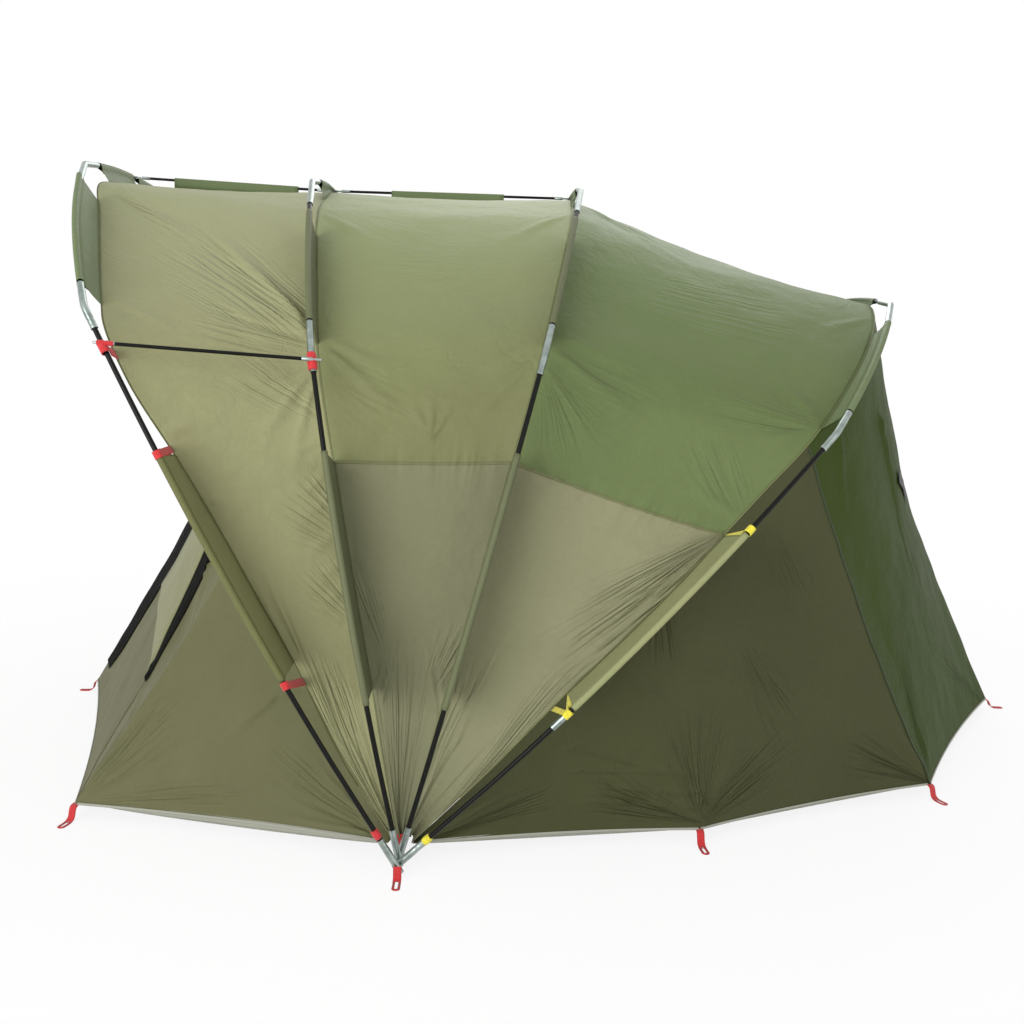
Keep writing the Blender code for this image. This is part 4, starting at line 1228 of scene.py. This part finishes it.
skirt(door, "front_skirt", 2, 7 * COLUMN_STEPS - 10, 0.016)
skirt(tail, "flank_skirt", 2, 3 * COLUMN_STEPS - 2, 0.010)
skirt(tail, "rear_side_skirt", 3 * COLUMN_STEPS + 3, 7 * COLUMN_STEPS - 3, 0.008)

# ---------------------------------------------------------------- front wall: door seam, mesh slit, flap


def through(panel, pixels):
    """The rows and columns that show at these pixels."""
    return [panel.spot(x, y) for x, y in pixels]


SEAM_LINE = [(75, 803), (100, 756), (126, 712), (152, 668), (182, 612), (213, 555)]
widths = same(SEAM_WIDTH, len(SEAM_LINE))
door.tapes("front_corner_seam", through(door, SEAM_LINE), widths, SEAM_DOOR, steps=60, crown=SEAM_CROWN)

for end, pixels in (("upper", [(878, 403), (887, 420)]), ("lower", [(897, 476), (905, 499)])):
    tail.tapes(f"rear_tab_{end}", through(tail, pixels), same(TAB_WIDTH, 2), BLACK, steps=12, lift=0.005)

# The mesh in the middle of the front wall, the pale flap beside it and the slit that the flap leaves open
MESH_EDGE = [(194, 527), (185, 545), (178, 564), (166, 581), (156, 595)]
MESH_EDGE += [(144, 619), (134, 634), (121, 651), (110, 666)]
SLIT_FRONT = [(208, 553), (197, 569), (190, 583), (184, 600), (175, 617)]
SLIT_FRONT += [(169, 634), (164, 646), (157, 659), (149, 672)]
SLIT_BACK = [(213, 560), (205, 574), (199, 587), (192, 600), (182, 619)]
SLIT_BACK += [(174, 636), (167, 648), (159, 661), (150, 675)]
DOOR_TOP = 0.22 * ROWS
mesh_edge, mesh_end = door.edge(MESH_EDGE)
slit_front, slit_end = door.edge(SLIT_FRONT)
slit_back, _ = door.edge(SLIT_BACK)


def other_half(column):
    """The same line on the sheet's other half."""
    return lambda row: door.columns - column(row)


door.cover("front_mesh", DOOR_TOP, mesh_end, mesh_edge, other_half(mesh_edge), NET, 0.004, across=72)
for half_name, turned in (("left", lambda line: line), ("right", other_half)):
    inner, front, back = (turned(line) for line in (mesh_edge, slit_front, slit_back))
    door.cover(f"front_flap_{half_name}", DOOR_TOP, slit_end - 1, inner, front, FLAP_LIGHT, 0.005)
    door.cover(f"front_slit_{half_name}", DOOR_TOP, slit_end, front, back, NET, 0.003)

# ---------------------------------------------------------------- bands, strips and straps on the hoops

LINES = {}
for number, hoop in HOOPS.items():
    LINES[number] = (eased([hoop.hub, *hoop.stations()], COLUMN_STEPS), eased(cloth_line(hoop), COLUMN_STEPS))


def at_column(line, column):
    """The place on a hoop's line at a column with a fraction."""
    where = min(max(column * COLUMN_STEPS, 0), len(line) - 1.001)
    i = int(where)
    return line[i].lerp(line[i + 1], where - i)


def column_at(number, reach, low=0.0, high=8.0):
    """The column where a hoop's pole is this far out from the hub."""
    poles = LINES[number][0]
    for _ in range(30):
        middle = (low + high) / 2
        if at_column(poles, middle).x < reach:
            low = middle
        else:
            high = middle
    return low


SLEEVE_RADIUS = 0.0074
SLEEVE_WAVE = 0.0012
STRAP_LIFT = 0.0013  # a strap lies this far over a band
STRAP_THICKNESS = 0.0011


def band(name, number, side, start, end, look, pale=None, lift=0.0, slant=0.0):
    """Cloth from a panel's edge out to the pole, round it as a sleeve, and back to its stitching.

    With a lift it is a webbing strap over such a band instead: stiff, plain, and drawn with fewer steps.
    """
    hoop = HOOPS[number]
    poles, seams = LINES[number]
    steps, wave = (6, 0.0) if lift else (60, SLEEVE_WAVE)
    radius = SLEEVE_RADIUS + lift
    lines = []
    for k in range(steps + 1):
        column = start + (end - start) * k / steps
        pole, seam = at_column(poles, column), at_column(seams, column - slant)
        way = pole - seam
        width = way.length
        way.normalize()
        section = []
        flat_end = min(0.020, width * 0.6)
        for j in range(7):
            a = -width + (width - flat_end) * j / 6
            swell = wave * noise.noise(Vector((column * 2.1, a * 30, number)))
            section.append((a, -0.0010 - lift + swell * math.sin(math.pi * j / 6)))
        section += [(-flat_end * 0.65, -0.0032 - lift), (-flat_end * 0.35, -radius * 0.86)]
        for j in range(9):
            turn = math.pi * (j / 8 - 0.5)
            section.append((radius * math.cos(turn), radius * math.sin(turn)))
        section += [(-flat_end * 0.35, radius * 0.84), (-flat_end * 0.65, 0.0030 + lift)]
        section += [(-flat_end, 0.0004 + lift), (-flat_end - 0.006, 0.0003 + lift)]
        lines.append([hoop.space(pole + way * a, side, b) for a, b in section])
    # With a second look, the flat part out from the panel's edge takes it and the sleeve round the pole keeps
    # the first; the second is a lighter copy of the cloth, painted light.
    looks = (look, pale) if pale else (look,)
    mesh = grid_mesh(name, lines, look_of=(lambda r, c: 1 if c < 7 else 0) if pale else None)
    obj = as_piece(name, mesh, hoop.body, *looks)
    if lift:
        thicken(obj, STRAP_THICKNESS)
    else:
        declared(obj, TRIM_THICKNESS)


for number, look in ((1, SEAM_DOOR), (2, SEAM_GREEN), (3, SEAM_GREEN), (4, SEAM_GREEN)):
    hoop = HOOPS[number]
    line = both_sides([hoop.space(p, -1, 0) for p in LINES[number][1][COLUMN_STEPS * 2 // 3 :]])
    tube(f"hoop_{number}_seam_cord", line, same(0.0019, len(line)), hoop.body, look, 8)

STRIPS = [
    (1, "leg_band", 2, 5, STRIP),
    (1, "side_strip", 7.95, 10.42, STRIP_DARK),
    (1, "top_strip", 11.8, 13.85, STRIP_DARK),
    (2, "leg_sleeve", 2, 5, SLEEVE_GREEN),
    (2, "side_sleeve", 8, 10, SLEEVE_GREEN),
    (2, "top_flap", 12, 13.9, STRIP_DARK),
    (3, "leg_sleeve", 2, 5, SLEEVE_GREEN),
    (3, "side_sleeve", 8, 10, SLEEVE_GREEN),
    (3, "top_flap", 12, 13.9, STRIP_DARK),
    (4, "leg_band", 2, 5, BAND_REAR),
    (4, "side_strip", 8, 10.2, STRIP_DARK),
    (4, "top_strip", 12, 13.85, STRIP_DARK),
]
STRAPS = [
    (1, "lower_strap", 0.483, 0.018, RED, 0.16),
    (1, "upper_strap", 1.035, 0.018, RED, -0.11),
    (1, "bar_tab", 1.285, 0.026, RED, 0),
    (4, "lower_strap", 0.512, 0.018, YELLOW, -0.10),
    (4, "lower_strap_fork", 0.512, 0.014, YELLOW, 0.13),
    (4, "upper_strap", 1.070, 0.018, YELLOW, 0.10),
]
WRAPS = [
    (1, "hub_wrap", 0.095, 0.022, 0.0078, RED),
    (4, "hub_wrap", 0.089, 0.020, 0.0078, YELLOW),
    (2, "elbow_wrap", 1.118, 0.036, 0.0098, RED),
    (4, "ferrule", 0.489, 0.046, 0.0074, STEEL),
]

for side_name, side in SIDES.items():
    for number, name, start, end, look in STRIPS:
        # The first hoop's leg bands take the lighter copy on their flat part: painted light.
        pale = STRIP_PAINTED_LIGHT if (number, name) == (1, "leg_band") else None
        band(f"hoop_{number}_{name}_{side_name}", number, side, start, end, look, pale=pale)
    for number, name, reach, length, look, slant in STRAPS:
        low, high = (column_at(number, reach + d * length / 2) for d in (-1, 1))
        tag = f"hoop_{number}_{name}_{side_name}"
        band(tag, number, side, low, high, look, lift=STRAP_LIFT, slant=slant)
    for number, name, reach, length, radius, look in WRAPS:
        hoop = HOOPS[number]
        poles = LINES[number][0]
        low, high = (column_at(number, reach + d * length / 2) for d in (-1, 1))
        path = [hoop.space(at_column(poles, low + (high - low) * k / 12), side) for k in range(13)]
        swell = 0.0004 if look is STEEL else 0.0012
        radii = [radius + swell * (k % 2) * 0.5 + swell * math.sin(math.pi * k / 12) for k in range(13)]
        tube(f"hoop_{number}_{name}_{side_name}", path, radii, hoop.body, look)

# ---------------------------------------------------------------- tension bars

BAR_RADIUS = 0.0040
BAR_TIP = 0.020
BAR_GAP = 0.0003  # between a side bar and the hoops' tubes that it lies on


def rod(name, start, end, body):
    """A tension bar with a thin round-ended steel tip at each end and a collar behind each tip."""
    way = (end - start).normalized()
    whole = (end - start).length
    shaft = run(start + way * BAR_TIP, end - way * BAR_TIP, 24)
    piece = tube(name + "_rod", shaft, same(BAR_RADIUS, 25), body, POLE)
    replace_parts(piece, name)
    for tip, base, sign in (("rear", start, 1), ("front", end, -1)):
        spots = [(0.0, 0.0012), (0.0006, 0.0022), (0.0018, 0.0028), (0.0200, 0.0028)]
        spots += [(0.0202, 0.0046), (0.0440, 0.0046), (0.0446, 0.0041)]
        path = [base + way * sign * min(d, whole / 2) for d, _ in spots]
        tube(f"{name}_{tip}_tip", path, [r for _, r in spots], body, STEEL)


def seat(number, side, drop):
    """Where a side bar lies on a hoop, this far below the shoulder, and the way down the leg there."""
    hoop = HOOPS[number]
    corner = hoop.space(hoop.lower, side)
    down = (hoop.space(hoop.leg(hoop.leg_shares[-1]), side) - corner).normalized()
    return corner + down * drop, down


for side_name, side in SIDES.items():
    back, back_down = seat(2, side, 0.030)
    fore, _ = seat(1, side, 0.095)
    way = (fore - back).normalized()
    outward = way.cross(back_down).normalized()
    outward *= math.copysign(1, outward.y * side)
    back += outward * (STEEL_RADIUS + BAR_RADIUS + BAR_GAP)
    fore += outward * (POLE_RADIUS + BAR_RADIUS + BAR_GAP)
    way = (fore - back).normalized()
    name = f"side_bar_{side_name}"
    rod(name, back - way * BAR_TIP, fore + way * BAR_TIP, name)
    path = run(fore - way * 0.022, fore + way * 0.012, 8)
    tube(f"{name}_tab", path, [0.0052 + 0.0008 * (k % 2) for k in range(9)], name, RED)


def flap(name, start, end, low, high, panel, look):
    """A sleeve of cloth over part of a roof bar, hanging a little down each side of it."""
    section = [(-0.006, -0.026), (-0.0068, -0.012), (-0.0064, 0), (-0.0046, 0.0050), (0, 0.0066)]
    section += [(-y, z) for y, z in section[-2::-1]]
    lines = []
    for k in range(25):
        place = start.lerp(end, low + (high - low) * k / 24)
        sway = 0.0016 * noise.noise(Vector((k * 0.4, 3, 0)))
        swung = [(y * (1 + 6 * sway), z + (sway if z < -0.01 else 0)) for y, z in section]
        lines.append([place + Vector((0, y, z)) for y, z in swung])
    obj = as_piece(name, grid_mesh(name, lines), panel.fold[0], look)
    declared(obj, FLAP_THICKNESS)
    panel.folded(obj)


for name, back, fore, panel, low, high in (
    ("top_bar_front", 2, 1, porch, 0.17, 0.80),
    ("top_bar_rear", 3, 2, mid, 0.28, 0.76),
):
    crowns = [HOOPS[n].space(Vector((HOOPS[n].crown, 0)), 1) for n in (back, fore)]
    way = (crowns[1] - crowns[0]).normalized()
    start, end = crowns[0] + way * 0.0063, crowns[1] - way * 0.0063
    rod(name, start, end, name)
    flap(name + "_sleeve", start, end, low, high, panel, STRIP_DARK)

# ---------------------------------------------------------------- webbing loops and hubs

LOOP_HALF_WIDTH = 0.0092
SLOT_HALF_WIDTH = 0.0034
SLOT_MARGIN = 0.0065  # webbing beyond the slot
LOOP_THICKNESS = 0.0020


def strap_loop(name, origin, way, profile, first, body):
    """A webbing strap along a profile of (out, up) points, with a round end and a slot from first on."""
    half, hole = LOOP_HALF_WIDTH, SLOT_HALF_WIDTH
    path = eased([Vector(p) for p in profile], 10, False)
    lengths = [0.0]
    for a, b in zip(path, path[1:]):
        lengths.append(lengths[-1] + (b - a).length)
    total = lengths[-1]
    last = total - SLOT_MARGIN
    stops = {total * k / 70 for k in range(71)}
    stops = sorted(stops | {first, last, last - hole * 0.5, total - half * 0.35})
    side_way = Vector((-way.y, way.x, 0))
    shape = bmesh.new()
    layer = shape.loops.layers.uv.new("map")
    grid = []
    for run_length in stops:
        i = max(k for k, d in enumerate(lengths) if d <= run_length + 1e-9)
        i = min(i, len(path) - 2)
        spot = path[i].lerp(path[i + 1], (run_length - lengths[i]) / (lengths[i + 1] - lengths[i]))
        past = max(0.0, run_length - (total - half))
        outer = math.sqrt(max(half * half - past * past, 0.0025**2))
        past = max(0.0, run_length - (last - hole))
        inner = math.sqrt(max(hole * hole - past * past, 0.0008**2))
        if not first <= run_length <= last:
            inner = min(hole, outer * 0.4)
        line = []
        for across in (-outer, -(outer + inner) / 2, -inner, inner, (outer + inner) / 2, outer):
            line.append(shape.verts.new(origin + way * spot.x + side_way * across + Vector((0, 0, spot.y))))
        grid.append((run_length, line))
    for (d0, a), (d1, b) in zip(grid, grid[1:]):
        for j in range(5):
            if j == 2 and d0 >= first - 1e-9 and d1 <= last + 1e-9:
                continue
            face = shape.faces.new((a[j], a[j + 1], b[j + 1], b[j]))
            for loop, (u, v) in zip(face.loops, ((j, d0), (j + 1, d0), (j + 1, d1), (j, d1))):
                loop[layer].uv = (u * 0.0048, v)
    mesh = bpy.data.meshes.new(name)
    shape.to_mesh(mesh)
    shape.free()
    obj = as_piece(name + "_webbing", mesh, body, RED)
    thicken(obj, LOOP_THICKNESS)
    return obj


TACK_WIDTH = 0.018


def tack(name, place, way, panel):
    """A bar tack: a short ridge of zigzag thread across a loop."""
    side_way = way.cross(Vector((0, 0, 1))).normalized()
    lines = []
    for i in range(4):
        line = []
        for k in range(25):
            rise = 0.0006 * (1 if k % 2 else 0.35) * (1 if 0 < i < 3 else 0.2)
            across = side_way * TACK_WIDTH * (k / 24 - 0.5)
            line.append(place + across + way * (i - 1.5) * 0.0012 + Vector((0, 0, rise)))
        lines.append(line)
    obj = as_piece(name, grid_mesh(name, lines), panel.fold[0], RED_THREAD)
    thicken(obj, 0.0003)
    panel.folded(obj)


LOOPS = [
    ("front_corner_loop_left", FRONT_CORNER, (-0.32, -1), -1, door),
    ("front_corner_loop_right", FRONT_CORNER, (-0.32, 1), 1, door),
    ("flank_loop_left", FLANK_CORNER, (0.12, -1), -1, tail),
    ("flank_loop_right", FLANK_CORNER, (0.12, 1), 1, tail),
    ("rear_corner_loop_left", REAR_CORNER, (0.50, -1), -1, tail),
    ("rear_corner_loop_right", REAR_CORNER, (0.50, 1), 1, tail),
    ("front_centre_loop", FRONT_CENTRE, (-1, 0), 0, door),
    ("rear_centre_loop", REAR_CENTRE, (1, 0), 0, tail),
]
for name, corner, out, side, panel in LOOPS:
    way = Vector((*out, 0)).normalized()
    root = corner.z - 0.0022
    origin = Vector((HUB.x + corner.x, side * corner.y, 0))
    profile = [(-0.018, root + 0.0002), (-0.003, root), (0.004, root - 0.002)]
    profile += [(0.018, 0.0064), (0.027, 0.0022), (0.036, 0.0014), (0.060, 0.0013)]
    obj = strap_loop(name, origin, way, profile, 0.062, panel.fold[0])
    panel.folded(obj)
    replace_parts(obj, name)
    tack(name + "_tack", origin + way * 0.0295 + Vector((0, 0, 0.0025)), way, panel)

HUB_OUTER_FACE = 1.2795
for side_name, side in SIDES.items():
    name = f"hub_loop_{side_name}"
    way = Vector((0, side, 0))
    origin = Vector((HUB.x, side * HUB_OUTER_FACE, 0))
    profile = [(0.0012, 0.030), (0.0014, 0.012), (0.0022, 0.0035), (0.0060, 0.0014), (0.053, 0.0012)]
    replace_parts(strap_loop(name, origin, way, profile, 0.036, "hubs"), name)
    hang = [Vector((HUB.x, side * (1.1945 + 0.0012 * math.sin(k)), 0.066 - 0.0046 * k)) for k in range(12)]
    lines = [[p + Vector((0.010 * across, 0, 0)) for across in (-1, -0.5, 0, 0.5, 1)] for p in hang]
    strap = as_piece(f"hub_strap_{side_name}", grid_mesh("hub_strap", lines), "hubs", RED)
    thicken(strap, 0.0012)
    pin = bpy.data.objects[f"hub_pin_{side_name}"]
    for holder in pin.material_slots:
        holder.link = "OBJECT"
        holder.material = STEEL

# ---------------------------------------------------------------- camera, floor and light

SENSOR = 36
turn = Matrix((RIGHT, UP, -FORWARD)).transposed()
bpy.ops.object.camera_add(location=EYE, rotation=turn.to_euler())
camera = bpy.context.object
camera.data.sensor_width = SENSOR
camera.data.lens = FOCAL * SENSOR / PICTURE
bpy.context.scene.camera = camera

# The floor fades between these distances from the middle of the tent, and is this clear before them
FADE_START = 2.0
FADE_END = 3.4
NEAR_FADE = 0.86
FLOOR_SIZE = 60


def direct_rays(node):
    """1 on rays that show a thing straight, in a shiny surface or through a clear one, and else 0."""
    camera_ray, glossy_ray, clear_ray = (
        node("LightPath", out=f"Is {kind} Ray") for kind in ("Camera", "Glossy", "Transmission")
    )
    direct = node("Math", camera_ray, glossy_ray, operation="MAXIMUM")
    return node("Math", direct, clear_ray, operation="MAXIMUM")


def floor_look():
    """Pale matt board, which thins out to nothing some way from the tent so that no edge of it shows."""
    made, node = new_material("pale_floor")
    finish(made, Base_Color=linear("#fbfbfa"), Roughness=0.95)
    away = node("VectorMath", node("TexCoord", out="Object"), operation="LENGTH", out="Value")
    fade = node("MapRange", away, From_Min=FADE_START, From_Max=FADE_END, To_Min=NEAR_FADE)
    clear = node("Math", direct_rays(node), fade, operation="MULTIPLY")
    nodes = made.node_tree.nodes
    board = nodes["Principled BSDF"].outputs[0]
    blend = node("MixShader", clear, board, node("BsdfTransparent"))
    fill(made.node_tree, nodes["Material Output"], Surface=blend)
    return made


bpy.ops.mesh.primitive_plane_add(size=FLOOR_SIZE, location=(0, 0, -0.0005))
floor = bpy.context.object
floor.name = "floor"
bpy.ops.object.transform_apply()
floor.data.materials.append(floor_look())


def area_light(name, place, aim, size, power):
    """A round soft lamp."""
    turned = (Vector(aim) - Vector(place)).to_track_quat("-Z", "Y").to_euler()
    bpy.ops.object.light_add(type="AREA", location=place, rotation=turned)
    lamp = bpy.context.object
    lamp.name = name
    lamp.data.shape = "DISK"
    lamp.data.size = size
    lamp.data.energy = power


area_light("key", (-3.5, -6.0, 2.2), (0, 0, 0.7), 4.5, 290)
area_light("fill", (4.5, -5.0, 1.6), (0.3, 0, 0.5), 5.0, 70)
area_light("back", (1.0, 5.0, 5.0), (0, 0, 0.8), 5.0, 140)

WHITE = (1, 1, 1, 1)
SKY_STRENGTH = 0.70
world = bpy.data.worlds.new("studio")
world.use_nodes = True
bpy.context.scene.world = world
node = partial(add_node, world.node_tree)
sky = world.node_tree.nodes["Background"]
fill(world.node_tree, sky, Color=WHITE, Strength=SKY_STRENGTH)
backdrop = node("Background", Color=WHITE, Strength=1.0)
mixed = node("MixShader", direct_rays(node), sky.outputs[0], backdrop)
fill(world.node_tree, world.node_tree.nodes["World Output"], Surface=mixed)
bpy.context.scene.view_settings.view_transform = "Standard"

bpy.context.view_layer.update()
